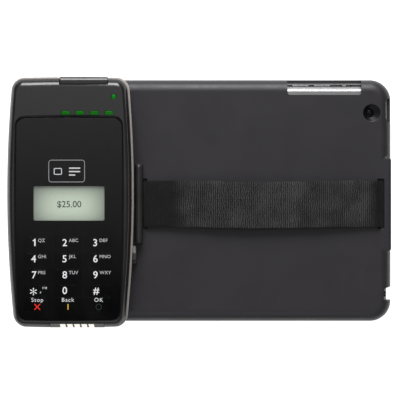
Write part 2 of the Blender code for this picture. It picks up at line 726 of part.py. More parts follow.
def make_dock_cradle():
    plate = bmesh.new()
    add_pillar(plate, rounded(-64.2, -4.0, 46.4, 108.0, 3.0), PLATE_LOW, PLATE_HIGH)
    cradle = finish("dock_cradle", plate, material("dock_cradle", (0.03, 0.03, 0.031), 0.5))
    tab = bmesh.new()
    add_block(tab, (-45.0, COLUMN_RIGHT), COLUMN_ENDS, (PLATE_LOW, PLATE_HIGH - 0.05))
    join(cradle, "cradle_tab", tab)
    seat = bmesh.new()
    add_block(seat, (-45.0, -36.7), (-35.2, COLUMN_ENDS[0] + 1.0), (PLATE_LOW, PLATE_HIGH - 0.1))
    join(cradle, "cradle_latch_seat", seat)
    raised = bmesh.new()
    left = COLUMN_LEFT
    right = COLUMN_RIGHT
    radius = (right - left) / 2
    middle = (right + left) / 2
    sections = []
    for y, size in ((COLUMN_ENDS[0], 0.35), (COLUMN_ENDS[0] + 0.7, 0.75), (COLUMN_ENDS[0] + 2.0, 1.0),
                    (COLUMN_ENDS[1] - 2.0, 1.0), (COLUMN_ENDS[1] - 0.7, 0.75), (COLUMN_ENDS[1], 0.35)):
        arch = [(left, y, 13.0), (right, y, 13.0)]
        for i in range(7):
            angle = math.pi * i / 6
            arch.append((middle + radius * math.cos(angle), y, 17.0 + (COLUMN_HIGH - 17.0) * size * math.sin(angle)))
        sections.append(arch)
    loft(raised, sections)
    for x in RAIL_X:
        add_along_y(raised, rail_profile(x, 0.0, 13.0, RAIL_HIGH), RAIL_ENDS)
    add_block(raised, (-39.4, -37.0), (-35.2, -33.4), (13.0, 16.2))
    join(cradle, "cradle_raised", raised)
    pocket = bmesh.new()
    add_block(pocket, (-80.3, -58.7), (-55.0, -48.0), (11.6, 15.0))
    cut(cradle, "connector_pocket", pocket)


def make_dock_connector():
    block = bmesh.new()
    add_block(block, (-80.0, -59.0), (-54.7, -48.3), (11.9, 13.9))
    made = finish("dock_connector", block, material("dock_connector", (0.06, 0.06, 0.06), 0.4))
    dimples = bmesh.new()
    for i in range(5):
        add_pillar(dimples, circle(-77.5 + 4.0 * i, -51.5, 1.0, 12), 13.2, 15.0)
    cut(made, "connector_dimples", dimples)


def make_release_latch():
    slider = bmesh.new()
    profile = [(-39.6, 14.6), (-36.9, 14.6), (-36.9, 16.3), (-37.3, 16.8), (-39.2, 16.8), (-39.6, 16.4)]
    add_along_y(slider, profile, (-33.0, -25.2))
    finish("release_latch", slider, material("release_latch", (0.2, 0.2, 0.19), 0.45), (-38.25, -29.1, 15.7))


# Tablet

def make_tablet_housing():
    body = bmesh.new()
    levels = ((0.0, TABLET_LOW), (0.0, 2.6), (-2.1, 6.2), (-2.9, 7.1), (-3.8, 7.55), (-4.9, TABLET_HIGH))
    loft(body, [at_height(tablet_outline(grow), z) for grow, z in levels])
    housing = finish("tablet_housing", body, material("tablet_housing", (0.62, 0.62, 0.63), 0.35, 0.8))
    hollow = bmesh.new()
    loft(hollow, [at_height(tablet_outline(grow), z) for grow, z in ((-1.4, 0.0), (-1.4, 2.6), (-3.7, 6.3))])
    cut(housing, "tablet_hollow", hollow)
    slots = bmesh.new()
    low = BUTTON_LOW - EDGE_SLOT
    high = BUTTON_HIGH + EDGE_SLOT
    for ends in EDGE_SLOTS:
        add_block(slots, ends, (65.0, 72.0), (low, high))
    add_block(slots, (103.0, 110.0), POWER_SLOT, (low, high))
    add_pillar(slots, circle(LENS_X, CAMERA_Y, LENS_R + 0.3, 20), 5.0, 9.0)
    add_along_x(slots, circle(SOCKET_Y, JACK_Z, JACK_R, 16), (100.0, 110.0))
    cut(housing, "tablet_slots", slots)


def make_tablet_glass():
    sheet = bmesh.new()
    add_pillar(sheet, rounded(TABLET_X, TABLET_Y, TABLET_LENGTH - 0.8, TABLET_HEIGHT - 0.8, TABLET_CORNER - 0.4, 5),
               GLASS_LOW, GLASS_HIGH)
    glass = finish("tablet_glass", sheet, material("tablet_glass", (0.01, 0.01, 0.012), 0.08))
    hole = bmesh.new()
    add_pillar(hole, circle(HOME_X, TABLET_Y, HOME_R + 0.3, 24), -1.0, 3.0)
    cut(glass, "home_hole", hole)


def make_tablet_inside():
    cell = bmesh.new()
    add_pillar(cell, rounded(7.5, TABLET_Y, 165.0, 116.0, 2.0, 2), 2.2, 6.0)
    finish("tablet_cell", cell, material("tablet_cell", (0.2, 0.2, 0.22), 0.5))
    lens = bmesh.new()
    loft(lens, [
        at_height(circle(LENS_X, CAMERA_Y, LENS_R, 20), 4.6),
        at_height(circle(LENS_X, CAMERA_Y, LENS_R, 20), 7.6),
        at_height(circle(LENS_X, CAMERA_Y, LENS_R - 0.3, 20), 7.75),
    ])
    finish("camera_lens", lens, material("camera_lens", (0.008, 0.008, 0.01), 0.08))


def edge_button(name, ends, look):
    key = bmesh.new()
    x = (ends[0] + ends[1]) / 2
    loft(key, [at_height(rounded(x, (outer + 65.6) / 2, ends[1] - ends[0], outer - 65.6, 0.35, 2), z)
               for outer, z in ((68.1, BUTTON_LOW), (67.2, BUTTON_HIGH))])
    finish(name, key, look, (x, 67.6, 4.3))


def make_tablet_buttons():
    silver = material("edge_button", (0.66, 0.66, 0.67), 0.3, 0.8)
    edge_button("volume_up", VOLUME_UP, silver)
    edge_button("volume_down", VOLUME_DOWN, silver)
    edge_button("mute_switch", MUTE_SWITCH, silver)
    key = bmesh.new()
    loft(key, [at_height(rounded((outer + 104.7) / 2, POWER_Y, outer - 104.7, POWER_LENGTH, 0.35, 2), z)
               for outer, z in ((107.2, BUTTON_LOW), (106.3, BUTTON_HIGH))])
    finish("power_button", key, silver, (106.7, POWER_Y, 4.3))
    home = bmesh.new()
    loft(home, [
        at_height(circle(HOME_X, TABLET_Y, HOME_R - 1.0, 24), 0.75),
        at_height(circle(HOME_X, TABLET_Y, HOME_R, 24), 0.6),
        at_height(circle(HOME_X, TABLET_Y, HOME_R, 24), 1.9),
    ])
    finish("home_button", home, material("home_button", (0.015, 0.015, 0.017), 0.2), (HOME_X, TABLET_Y, 0.6))


clear_scene()
make_front_housing()
make_trim_band()
make_rear_housing()
make_screws()
make_lens_panel()
make_display()
make_keys()
make_keypad_membrane()
make_lights()
make_scanner()
make_charging_block()
make_main_board()
make_battery()
make_card_reader()
make_magstripe_head()
make_antenna()
make_sleeve_shell()
make_strap_anchors()
make_hand_strap()
make_dock_cradle()
make_dock_connector()
make_release_latch()
make_tablet_housing()
make_tablet_glass()
make_tablet_inside()
make_tablet_buttons()
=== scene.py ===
"""The looks of the card payment terminal on its tablet sleeve.

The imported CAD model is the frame. Every visible shell is rebuilt here from the same driving sizes at a finer
resolution, and each piece rides on the CAD body that it belongs to. Sizes are in millimetres until a mesh is
finished, and the axes are those of the frame: +Z out of the terminal's face, +Y to its top end. A shape is a
list of rings of points, which are joined one to the next.
"""

import math

import bmesh
import bpy
from mathutils import Matrix, Vector


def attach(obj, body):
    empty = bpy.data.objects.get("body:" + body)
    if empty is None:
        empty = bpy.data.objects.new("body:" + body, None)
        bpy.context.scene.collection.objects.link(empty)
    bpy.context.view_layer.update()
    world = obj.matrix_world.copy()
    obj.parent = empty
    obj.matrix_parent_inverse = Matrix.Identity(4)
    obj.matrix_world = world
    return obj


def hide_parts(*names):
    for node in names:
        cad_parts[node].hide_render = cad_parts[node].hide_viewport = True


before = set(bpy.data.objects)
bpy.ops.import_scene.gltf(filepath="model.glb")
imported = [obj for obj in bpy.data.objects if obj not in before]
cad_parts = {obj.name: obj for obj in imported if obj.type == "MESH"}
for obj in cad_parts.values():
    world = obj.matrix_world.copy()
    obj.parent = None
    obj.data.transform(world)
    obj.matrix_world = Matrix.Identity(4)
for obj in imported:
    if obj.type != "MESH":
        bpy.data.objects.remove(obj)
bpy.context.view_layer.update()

MM = 0.001
CURVE_PULL = 0.45
LONGEST_ROUND = 0.45

# Tablet
TABLET_X = 7.2
TABLET_Y = 0.75
TABLET_LENGTH = 200.0
TABLET_HEIGHT = 134.7
TABLET_CORNER = 9.7
TABLET_LOW = 1.5
VIEW_HALVES = (81.0, 60.8)
EDGE_MIDDLE = 4.3
BUTTON_SLANT = 0.5
POWER_BUTTON_Y = 53.25
HOME_X = -84.8

# Sleeve
SLEEVE_GROW = 2.3
SLEEVE_FILLET = 7.0
FILLET_START = 4.0
SLEEVE_BACK = 10.4
RIM_HIGH = 3.2
ABOVE_BACK = 12.0
SLEEVE_EDGE = 109.5
ANCHOR_ENDS = (-31.0, 28.0)
ANCHOR_START = 97.0
ANCHOR_FADE = 4.0
ANCHOR_ROUND = 2.0
CAMERA_X = 98.1
LENS_X = 97.0
CAMERA_Y = 51.2
CAMERA_HOLE_R = 4.8
LENS_R = 2.6
SOCKET_NOTCH = ((105.1, -56.7), (115.0, -56.7), (115.0, -47.8), (108.9, -48.9), (106.3, -49.6), (105.1, -50.9))
SOCKET_Y = -53.2
SOCKET_R = 1.75

# Hand strap
STRAP_WIDTH = 27.0
STRAP_Y = -1.4
STRAP_THICK = 1.2
STRAP_LEFT = -32.5
STRAP_RIGHT = 103.3
STRAP_BOW = 3.5
STRAP_END_Z = 9.55
STRAP_BEND_Z = 10.9
STRAP_BEND_R = 2.0
STRAP_LEAVES = math.radians(78)
STRAP_STEPS = 200
STRAP_COLUMNS = 26
RIB_PITCH = 1.21
YARN_PITCH = 1.65

# Terminal
TERMINAL_X = -73.75
TERMINAL_Y = -0.05
HALF_WIDTH = 35.75
HALF_LENGTH = 70.8
WIDEST_AT = 5.4
SIDE_RADIUS = 689.0
END_RADIUS = 900.0
TOP_CORNER = 7.5
BOTTOM_CORNER = 7.0
UNDER_REAR = 13.0
REAR_FACE = 14.3
REAR_FLOOR = 18.3
REAR_RIM = 24.9
TRIM_LOW = 25.2
PARTING = 26.0
TRIM_HIGH = 26.6
FRONT_RIM = 26.9
SHOULDER_LOW = 31.5
SHOULDER_WIDE = 3.6
SHOULDER_TOP_EXTRA = 1.5
TOP_LEAN = 0.5
FACE_INSIDE = 34.4
POCKET_FLOOR = 35.7
PANEL_LOW = 36.0
PANEL_HIGH = 36.9
PRINT_LOW = PANEL_HIGH + 0.003
PRINT_HIGH = PANEL_HIGH + 0.027
FACE = 37.0
UNDER_FACE = 33.0
UNDER_PANEL = 35.0
ABOVE_FACE = 38.0
BEYOND_ENDS = 75.0

# Face panel, display and keys
PANEL_HALF_WIDTH = 29.6
PANEL_SIDE_RADIUS = 2000.0
PANEL_TOP = 46.9
PANEL_BOTTOM = -65.7
PANEL_CORNER = 5.0
GROOVE_TOP = 0.6
GROOVE_SIDE = 1.0
TAP_MARK = (-75.0, 17.2)
DISPLAY_X = -73.75
DISPLAY_Y = -0.85
DISPLAY_WIDTH = 39.7
DISPLAY_HEIGHT = 19.3
DISPLAY_FACE = 35.62
KEY_COLUMNS = (-91.5, -74.35, -57.2)
KEY_ROWS = (-22.7, -31.7, -40.65, -49.4, -57.25)
KEY_WIDTH = 14.4
KEY_HEIGHTS = (5.8, 5.8, 5.8, 5.8, 7.7)
KEY_FLANGE = 0.45
KEY_BASE = 34.9
KEY_SHOULDER = 35.6
KEY_GAP = 0.07
KEYS = [names.split() for names in ("1 2 3", "4 5 6", "7 8 9", "star 0 hash", "cancel clear enter")]
DIGITS = ("123", "456", "789", "*0#")
DIGIT_HEIGHT = 4.1
DIGIT_SHIFTS = {"7": 0.1, "4": -0.3}
LETTERS = dict(zip("123456789", "QZ ABC DEF GHI JKL MNO PRS TUV WXY".split()))
WORDS = ("Stop", "Back", "OK")
CAP_HEIGHT = 0.73
STROKE = 0.01

# Lights, scanner, contacts, screws and slots
BAR_Y = 49.7
BAR_CENTRES = (-75.6, -67.65, -59.6, -51.4)
BAR_WIDTH = 4.7
BAR_HEIGHT = 2.2
POWER_LIGHT = (-48.8, 58.7)
POWER_LIGHT_R = 1.4
SCANNER_X = -65.6
SCANNER_WIDTH = 26.8
SCANNER_PROFILE = ((65.0, 27.2), (69.9, 27.2), (69.9, 34.3), (69.3, 35.05), (68.3, 35.55), (65.7, 35.95),
                   (65.7, 33.6), (65.0, 33.6))
SCANNER_DEEP = 5.7
SCANNER_TALL = 9.1
BLOCK_X = -69.5
BLOCK_WIDTH = 30.0
BLOCK_PROFILE = ((-70.6, 27.2), (-66.3, 27.2), (-66.3, 31.2), (-67.7, 31.2), (-67.7, 35.9), (-68.0, 35.9),
                 (-70.6, 29.4))
CONTACT_CENTRES = (-77.5, -73.5, -69.5, -65.5, -61.5)
CONTACT_WIDTH = 3.1
CONTACT_PLACE = (-69.3, 32.65)
CONTACT_SLOPE = math.radians(68.2)
CONTACT_LENGTH = 6.0
SCREWS = ((-97.05, -16.0), (-97.05, 44.5), (-47.4, -16.0), (-47.4, 44.5))
BOSS_R = 2.6
PILOT_R = 1.3
SWIPE_X = -102.95
SWIPE_WALL = -101.05
CARD_SLOT_X = -72.65
CARD_SLOT_WIDTH = 54.6
CARD_SLOT_LOW = 21.2
CARD_SLOT_HIGH = 22.6

# Dock
PLATE_LOW = 10.7
PLATE_HIGH = 14.0
PLATE_RIGHT = -45.0
RAIL_X = (-83.0, -56.0)
RAIL_NECK = 6.0
RAIL_HEAD = 8.4
RAIL_HIGH = 16.1
RAIL_ENDS = (-45.0, 42.0)
COLUMN_LEFT = -37.8
COLUMN_RIGHT = -33.4
COLUMN_ENDS = (-23.5, 21.7)
COLUMN_SPRING = 17.0
COLUMN_HIGH = 20.0

# Camera
CAMERA_AT = (-0.65, 1.05, 900.0)
CAMERA_LENS = 139.3


# Outlines and shapes

def rounded(cx, cy, width, height, radius, steps=6):
    """A rectangle with round corners, counter-clockwise."""
    points = []
    for sign_x, sign_y, start in ((1, 1, 0), (-1, 1, 90), (-1, -1, 180), (1, -1, 270)):
        x = sign_x * (width / 2 - radius)
        y = sign_y * (height / 2 - radius)
        for i in range(steps + 1):
            angle = math.radians(start + 90 * i / steps)
            points.append((cx + x + radius * math.cos(angle), cy + y + radius * math.sin(angle)))
    return points


def circle(cx, cy, radius, steps=40):
    turn = 2 * math.pi / steps
    return [(cx + radius * math.cos(turn * i), cy + radius * math.sin(turn * i)) for i in range(steps)]


def arc(steps, turn=math.pi / 2):
    """The cosine and sine at even steps through an angle, with both ends."""
    return [(math.cos(turn * i / steps), math.sin(turn * i / steps)) for i in range(steps + 1)]


def corner_curve(start, middle, end, steps):
    """A curve that rounds a corner, without its start."""
    points = []
    for i in range(1, steps + 1):
        t = i / steps
        a = (1 - t) ** 3 + 3 * (1 - t) ** 2 * t * CURVE_PULL
        c = t ** 3 + 3 * (1 - t) * t ** 2 * CURVE_PULL
        b = 1 - a - c
        points.append(tuple(a * start[k] + b * middle[k] + c * end[k] for k in (0, 1)))
    return points


def softened(profile, radius, steps=4):
    """The same closed profile with its corners rounded, each over at most LONGEST_ROUND of an edge."""
    points = []
    for i, corner in enumerate(profile):
        at = Vector(corner)
        before = Vector(profile[i - 1]) - at
        after = Vector(profile[(i + 1) % len(profile)]) - at
        reach = min(radius, before.length * LONGEST_ROUND, after.length * LONGEST_ROUND)
        start = tuple(at + before.normalized() * reach)
        end = tuple(at + after.normalized() * reach)
        points += [start] + corner_curve(start, corner, end, steps)
    return points


def mirrored(points, middle=0.0):
    """The points, then their mirror images in reverse, about a middle along the first axis."""
    return list(points) + [(2 * middle - x, other) for x, other in reversed(points)]


def barrel(inset, top=HALF_LENGTH, bottom=-HALF_LENGTH, half=HALF_WIDTH, bow=SIDE_RADIUS,
           top_corner=TOP_CORNER, bottom_corner=BOTTOM_CORNER, steps=12, sides=28):
    """The terminal's outline with its bowed sides, counter-clockwise from the lower right."""
    top = top - inset
    bottom = bottom + inset
    upper = max(top_corner - inset, 1.0)
    lower = max(bottom_corner - inset, 1.0)
    straight = top - upper - bottom - lower

    def side(y):
        return half - inset - (y - WIDEST_AT) ** 2 / (2 * bow)

    heights = [bottom + lower + straight * i / sides for i in range(sides + 1)]
    right = [(side(y), y) for y in heights]
    left = [(-x, y) for x, y in reversed(right)]
    points = list(right)
    for sign, level, corner, following in ((1, top, upper, left), (-1, bottom, lower, right[:1])):
        wide = sign * side(level)
        reach = wide - sign * corner
        end = [(x, level - sign * x * x / (2 * END_RADIUS)) for x in (reach, reach / 2, 0.0, -reach / 2, -reach)]
        points += corner_curve(points[-1], (wide, level), end[0], steps) + end[1:]
        points += corner_curve(points[-1], (-wide, level), following[0], steps) + following[1:]
    return [(x + TERMINAL_X, y + TERMINAL_Y) for x, y in points[:-1]]


def panel_outline(gap, rise=0.0):
    return barrel(-gap, PANEL_TOP + rise - TERMINAL_Y, PANEL_BOTTOM - TERMINAL_Y, PANEL_HALF_WIDTH,
                  PANEL_SIDE_RADIUS, PANEL_CORNER, PANEL_CORNER, 10)


def tablet_outline(grow):
    return rounded(TABLET_X, TABLET_Y, TABLET_LENGTH + 2 * grow, TABLET_HEIGHT + 2 * grow,
                   TABLET_CORNER + grow, 14)


def at_height(outline, z):
    return [(x, y, z) for x, y in outline]


def stack(outline, levels):
    """One ring for each level: what the outline takes, and then the height."""
    return [at_height(outline(*level[:-1]), level[-1]) for level in levels]


def turned(cx, cy, levels, steps=40):
    """A round shape; a level is a radius and a height."""
    return [at_height(circle(cx, cy, radius, steps), z) for radius, z in levels]


def swollen(cx, cy, width, height, radius, levels):
    """Rounded rectangles; a level is the growth on every side and a height."""
    return [at_height(rounded(cx, cy, width + 2 * grow, height + 2 * grow, max(radius + grow, 0.05)), z)
            for grow, z in levels]


def pillar(outline, low, high):
    return [at_height(outline, low), at_height(outline, high)]


def block(x, y, z):
    """A box between two values along each axis."""
    return pillar([(x[0], y[0]), (x[1], y[0]), (x[1], y[1]), (x[0], y[1])], *z)


def cap(cx, cy, width, height, radius, low, high, soft):
    """A rounded block whose upper edge is a quarter round of the given radius."""
    edge = [(soft * (c - 1), high - soft + soft * s) for c, s in arc(4)]
    return swollen(cx, cy, width, height, radius, [(0, low)] + edge)


def mouth(cx, cy, width, height, radius, low, face, chamfer):
    """A cutter for a rounded hole with a chamfered mouth at the face."""
    levels = ((0, low), (0, face - chamfer), (chamfer, face), (chamfer, face + 2.0))
    return swollen(cx, cy, width, height, radius, levels)


def along_x(profile, ends):
    """A profile of (y, z) points, drawn out along X."""
    return [[(x, y, z) for y, z in profile] for x in ends]


def along_y(profile, ends):
    """A profile of (x, z) points, drawn out along Y."""
    return [[(x, y, z) for x, z in profile] for y in ends]


def about(middle, half):
    return middle - half, middle + half


# Pieces

def to_object(name, shapes, band=False):
    """A new object; a band joins its last ring to its first, and other shapes close their ends."""
    mesh = bmesh.new()
    for rings in shapes:
        rows = [[mesh.verts.new(point) for point in ring] for ring in rings]
        count = len(rows[0])
        for low, high in zip(rows, rows[1:] + rows[:1] if band else rows[1:]):
            for i in range(count):
                j = (i + 1) % count
                mesh.faces.new((low[i], low[j], high[j], high[i]))
        if not band:
            mesh.faces.new(list(reversed(rows[0])))
            mesh.faces.new(rows[-1])
    bmesh.ops.recalc_face_normals(mesh, faces=mesh.faces)
    bmesh.ops.scale(mesh, verts=mesh.verts, vec=(MM, MM, MM))
    data = bpy.data.meshes.new(name)
    mesh.to_mesh(data)
    mesh.free()
    return linked(name, data)


def linked(name, data):
    made = bpy.data.objects.new(name, data)
    bpy.context.scene.collection.objects.link(made)
    return made


def baked(item):
    """The item's mesh with its modifiers or its text worked out."""
    return bpy.data.meshes.new_from_object(item.evaluated_get(bpy.context.evaluated_depsgraph_get()))


def combine(item, shapes, operation):
    """Cut shapes out of a piece, or join them on, and keep only the result."""
    tool = to_object("tool", shapes)
    step = item.modifiers.new("step", "BOOLEAN")
    step.operation = operation
    step.solver = "EXACT"
    step.object = tool
    data = baked(item)
    item.modifiers.clear()
    item.data = data
    bpy.data.objects.remove(tool, do_unlink=True)


def cut(item, *shapes):
    combine(item, shapes, "DIFFERENCE")


def join(item, *shapes):
    combine(item, shapes, "UNION")


def dress(item, look, body, node=None, smooth=35):
    """Give a finished piece its material, shading and body, and hide the CAD node that it stands for."""
    item.data.materials.clear()
    item.data.materials.append(look.made)
    item.data.shade_smooth()
    item.data.set_sharp_from_angle(angle=math.radians(smooth))
    shading = item.modifiers.new("shading", "WEIGHTED_NORMAL")
    shading.keep_sharp = True
    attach(item, body)
    if node:
        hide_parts(node)


def piece(name, shape, look, body, node=None, band=False):
    """A dressed piece of a single shape."""
    dress(to_object(name, [shape], band), look, body, node)


def mark(name, shape, look, body, band=False):
    """A printed mark of a single shape."""
    made = to_object(name, [shape], band)
    made.data.materials.append(look.made)
    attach(made, body)


# Materials

def rgba(colour):
    """What a colour socket takes; one number is a grey, and a node's output stays as it is."""
    if isinstance(colour, float):
        colour = (colour, colour, colour)
    return (*colour, 1.0) if isinstance(colour, tuple) else colour


class Tree:
    """A node tree; a value in it is a number, a colour, a vector or another node's output."""

    def __init__(self, tree, coordinates):
        self.nodes = tree.nodes
        self.links = tree.links
        self.place = self.node("ShaderNodeTexCoord", coordinates, {})

    def feed(self, socket, value):
        if isinstance(value, bpy.types.NodeSocket):
            self.links.new(value, socket)
        else:
            socket.default_value = value

    def node(self, kind, output, values, operation=None):
        """The output of a new node that takes these values."""
        node = self.nodes.new(kind)
        if kind == "ShaderNodeMix":
            node.data_type = "RGBA"
        if operation:
            node.operation = operation
        for socket, value in values.items():
            self.feed(node.inputs[socket], value)
        return node.outputs[output]

    def axis(self, index):
        return self.node("ShaderNodeSeparateXYZ", index, {0: self.place})

    def spread(self, value, low=0.0, high=1.0, start=0.3, end=0.7):
        """A value from start to end, spread to run from low to high."""
        return self.node("ShaderNodeMapRange", "Result", {
            "From Min": start, "From Max": end, "To Min": low, "To Max": high, "Value": value})

    def ramp(self, value, start, end):
        """A value that rises from 0 at the start to 1 at the end."""
        return self.spread(value, 0.0, 1.0, start, end)

    def math(self, operation, *values):
        return self.node("ShaderNodeMath", 0, dict(enumerate(values)), operation)

    def plus(self, a, b):
        return self.math("ADD", a, b)

    def minus(self, a, b):
        return self.math("SUBTRACT", a, b)

    def times(self, a, b):
        return self.math("MULTIPLY", a, b)


class Look(Tree):
    """A Principled material whose nodes read the object's own coordinates, in millimetres."""

    def __init__(self, name, colour, roughness, metallic=0.0):
        self.made = bpy.data.materials.new(name)
        self.made.use_nodes = True
        super().__init__(self.made.node_tree, "Object")
        self.place = self.node("ShaderNodeVectorMath", 0, {0: self.place, "Scale": 1.0 / MM}, "SCALE")
        self.shader = self.nodes["Principled BSDF"]
        self.colour = colour
        self.set("Base Color", rgba(colour))
        self.set("Roughness", roughness)
        self.set("Metallic", metallic)

    def set(self, socket, value):
        self.feed(self.shader.inputs[socket], value)

    def noise(self, size, detail=3.0, stretch=(1.0, 1.0, 1.0)):
        """Noise with features of about that size, and longer where the stretch is below 1."""
        place = self.node("ShaderNodeVectorMath", 0, {0: self.place, 1: stretch}, "MULTIPLY")
        return self.node("ShaderNodeTexNoise", "Fac", {"Scale": 1.0 / size, "Detail": detail, "Vector": place})

    def mixed(self, factor, first, second):
        """A colour between two colours."""
        return self.node("ShaderNodeMix", 2, {6: rgba(first), 7: rgba(second), 0: factor})

    def between(self, factor, first, second):
        self.set("Base Color", self.mixed(factor, first, second))

    def vary(self, noise, amount):
        """The colour, darker and lighter by that share."""
        low, high = (tuple(c * share for c in self.colour) for share in (1 - amount, 1 + amount))
        self.between(self.spread(noise), low, high)

    def bump(self, height, depth, strength=1.0, below=None):
        """Bump with that depth in millimetres, on top of any bump below it."""
        values = {"Strength": strength, "Distance": depth * MM, "Height": height}
        if below is not None:
            values["Normal"] = below
        normal = self.node("ShaderNodeBump", 0, values)
        self.set("Normal", normal)
        return normal

    def shine(self, value):
        self.set("Specular IOR Level", value)

    def glow(self, colour, strength):
        self.set("Emission Color", rgba(colour))
        self.set("Emission Strength", strength)

    def plain(self):
        """What the colour is so far."""
        return self.shader.inputs["Base Color"].links[0].from_socket


def moulded(name, colour, roughness, grain=0.45, depth=0.012, amount=0.12):
    """Moulded plastic: a fine spark-eroded grain, faint handling marks and uneven gloss."""
    look = Look(name, colour, roughness)
    broad = look.noise(18.0, 4.0)
    look.vary(broad, amount)
    marks = look.noise(3.5, 6.0, (1.0, 0.35, 1.0))
    rough = look.spread(broad, roughness - 0.05, roughness + 0.04)
    look.set("Roughness", look.plus(rough, look.spread(marks, -0.02, 0.03)))
    fine = look.bump(look.noise(grain, 2.0), depth, 0.6)
    look.bump(look.noise(9.0, 2.0), 0.02, 0.25, fine)
    return look


def gloss(name, colour, roughness=0.09):
    """Hard gloss with faint smears and a little orange peel."""
    look = Look(name, colour, roughness)
    smears = look.noise(14.0, 5.0, (1.0, 0.45, 1.0))
    look.set("Roughness", look.spread(smears, roughness - 0.03, roughness + 0.06))
    look.vary(look.noise(6.0), 0.15)
    look.bump(look.noise(5.0, 1.0), 0.004, 0.5)
    return look


def metal(name, colour, roughness, grain=0.25, stretch=(1.0, 1.0, 1.0)):
    """Blasted or brushed metal; the stretch draws the grain out along an axis."""
    look = Look(name, colour, roughness, 1.0)
    fine = look.noise(grain, 3.0, stretch)
    look.set("Roughness", look.spread(fine, roughness - 0.06, roughness + 0.08))
    look.vary(look.noise(12.0), 0.06)
    look.bump(fine, 0.006, 0.5)
    return look


def rubber(name, colour):
    look = Look(name, colour, 0.75)
    look.vary(look.noise(8.0, 4.0), 0.15)
    look.bump(look.noise(0.6, 2.0), 0.02, 0.5)
    return look


def ink(name, colour):
    look = Look(name, colour, 0.5)
    look.vary(look.noise(0.5, 3.0), 0.1)
    return look


def lens_light(name, colour, strength):
    """A tinted light pipe: lit from within, with a faintly mottled tint."""
    look = Look(name, colour, 0.35)
    look.shine(0.2)
    look.vary(look.noise(1.6, 2.0), 0.25)
    look.glow(colour, strength)
    cells = look.node("ShaderNodeTexVoronoi", "Distance", {"Scale": 2.0, "Vector": look.place})
    look.bump(cells, 0.03, 0.4)
    return look


def webbing():
    """Woven elastic: fine ribs across the strap, yarns along it, and a dusty sheen, with painted shade towards both
    slots.
    """
    look = Look("strap_webbing", (0.026, 0.026, 0.027), 0.86)
    wander = look.spread(look.noise(2.4, 2.0), -0.3, 0.3)
    x = look.axis(0)

    def wave(place, pitch):
        return look.math("SINE", look.times(look.plus(place, wander), 2 * math.pi / pitch))

    ribs = wave(x, RIB_PITCH)
    weave = look.plus(look.times(ribs, 0.6), look.times(look.times(ribs, wave(look.axis(1), YARN_PITCH)), 0.4))
    patches = look.noise(11.0, 4.0)
    lint = look.ramp(look.noise(0.7, 4.0), 0.45, 0.8)
    light = look.plus(look.spread(weave, -0.25, 0.8, -1.0, 1.0), look.times(lint, 0.3))
    tone = look.plus(light, look.spread(patches, -0.15, 0.15))
    # Painted shade: the webbing darkens towards the left slot and the right slot, and a little towards the right;
    # random patches lighten it. Its sheen fades out at the right slot as well.
    from_left = look.spread(x, -0.25, 0.9, STRAP_LEFT + 15.0, STRAP_LEFT + 28.0)
    from_right = look.ramp(x, STRAP_RIGHT - 2.0, STRAP_RIGHT - 8.0)
    end_shade_and_patches = look.times(look.plus(from_left, look.spread(patches, 0.0, 0.35)), from_right)
    end_shade_and_patches = look.times(end_shade_and_patches, look.spread(x, 1.0, 0.75, 42.0, 66.0))
    dark = look.mixed(tone, 0.002, 0.015)
    pale = look.mixed(tone, 0.003, (0.094, 0.093, 0.095))
    look.between(look.math("MINIMUM", end_shade_and_patches, 1.0), dark, pale)
    look.set("Sheen Weight", look.times(from_right, 0.12))
    look.set("Sheen Roughness", 0.5)
    look.shine(0.25)
    below = look.bump(weave, 0.12, 0.8)
    look.bump(look.noise(0.35, 3.0), 0.05, 0.5, below)
    return look


def liquid_crystal():
    """The reflective display: pale in the middle, with painted shade towards its frame, and a fine dot grid; it glows
    faintly in the same shaded colour, which stands in for light on it.
    """
    look = Look("display_face", (0.49, 0.565, 0.46), 0.45)
    x = look.axis(0)
    y = look.axis(1)
    middle = DISPLAY_Y - 1.2

    def shade(distance, reach, power, amount):
        share = look.math("MAXIMUM", look.math("DIVIDE", distance, reach), 0.0)
        return look.minus(1.0, look.times(look.math("POWER", share, power), amount))

    sides = shade(look.math("ABSOLUTE", look.minus(x, DISPLAY_X)), DISPLAY_WIDTH / 2, 2.6, 0.68)
    upper = shade(look.minus(y, middle), DISPLAY_HEIGHT / 2 + 1.2, 2.2, 0.67)
    lower = shade(look.minus(middle, y), DISPLAY_HEIGHT / 2 - 1.2, 2.2, 0.4)
    light = look.times(look.times(sides, upper), lower)
    across, along = (look.math("SINE", look.times(place, 2 * math.pi / 0.36)) for place in (x, y))
    tone = look.plus(light, look.spread(look.times(across, along), -0.02, 0.02, -1.0, 1.0))
    shaded = look.mixed(tone, 0.0, look.colour)
    look.set("Base Color", shaded)
    look.glow(shaded, 0.35)
    look.set("Roughness", look.spread(look.noise(4.0), 0.4, 0.5))
    return look


def clear_cover():
    """The thin clear cover over the display."""
    look = Look("display_cover", (0.6, 0.65, 0.6), 0.06)
    look.set("Alpha", 0.1)
    look.set("Roughness", look.spread(look.noise(9.0, 4.0), 0.04, 0.1))
    look.bump(look.noise(6.0, 1.0), 0.003, 0.5)
    return look


def tablet_front():
    """Black glass with the slightly greyer display behind it."""
    look = Look("tablet_front", (0.006, 0.006, 0.007), 0.05)
    past = []
    for axis, centre, half in zip((0, 1), (TABLET_X, TABLET_Y), VIEW_HALVES):
        distance = look.math("ABSOLUTE", look.minus(look.axis(axis), centre))
        past.append(look.math("GREATER_THAN", distance, half))
    look.between(look.math("MAXIMUM", *past), (0.016, 0.017, 0.02), 0.005)
    smears = look.noise(22.0, 5.0, (1.0, 0.5, 1.0))
    look.set("Roughness", look.spread(smears, 0.03, 0.13))
    return look


def circuit_board():
    look = Look("board_lacquer", (0.02, 0.11, 0.05), 0.4)
    tracks = look.math("GREATER_THAN", look.noise(2.2, 0.0, (1.0, 0.2, 1.0)), 0.56)
    look.between(tracks, (0.012, 0.08, 0.035), (0.05, 0.2, 0.09))
    look.bump(tracks, 0.03, 0.6)
    return look


# Terminal

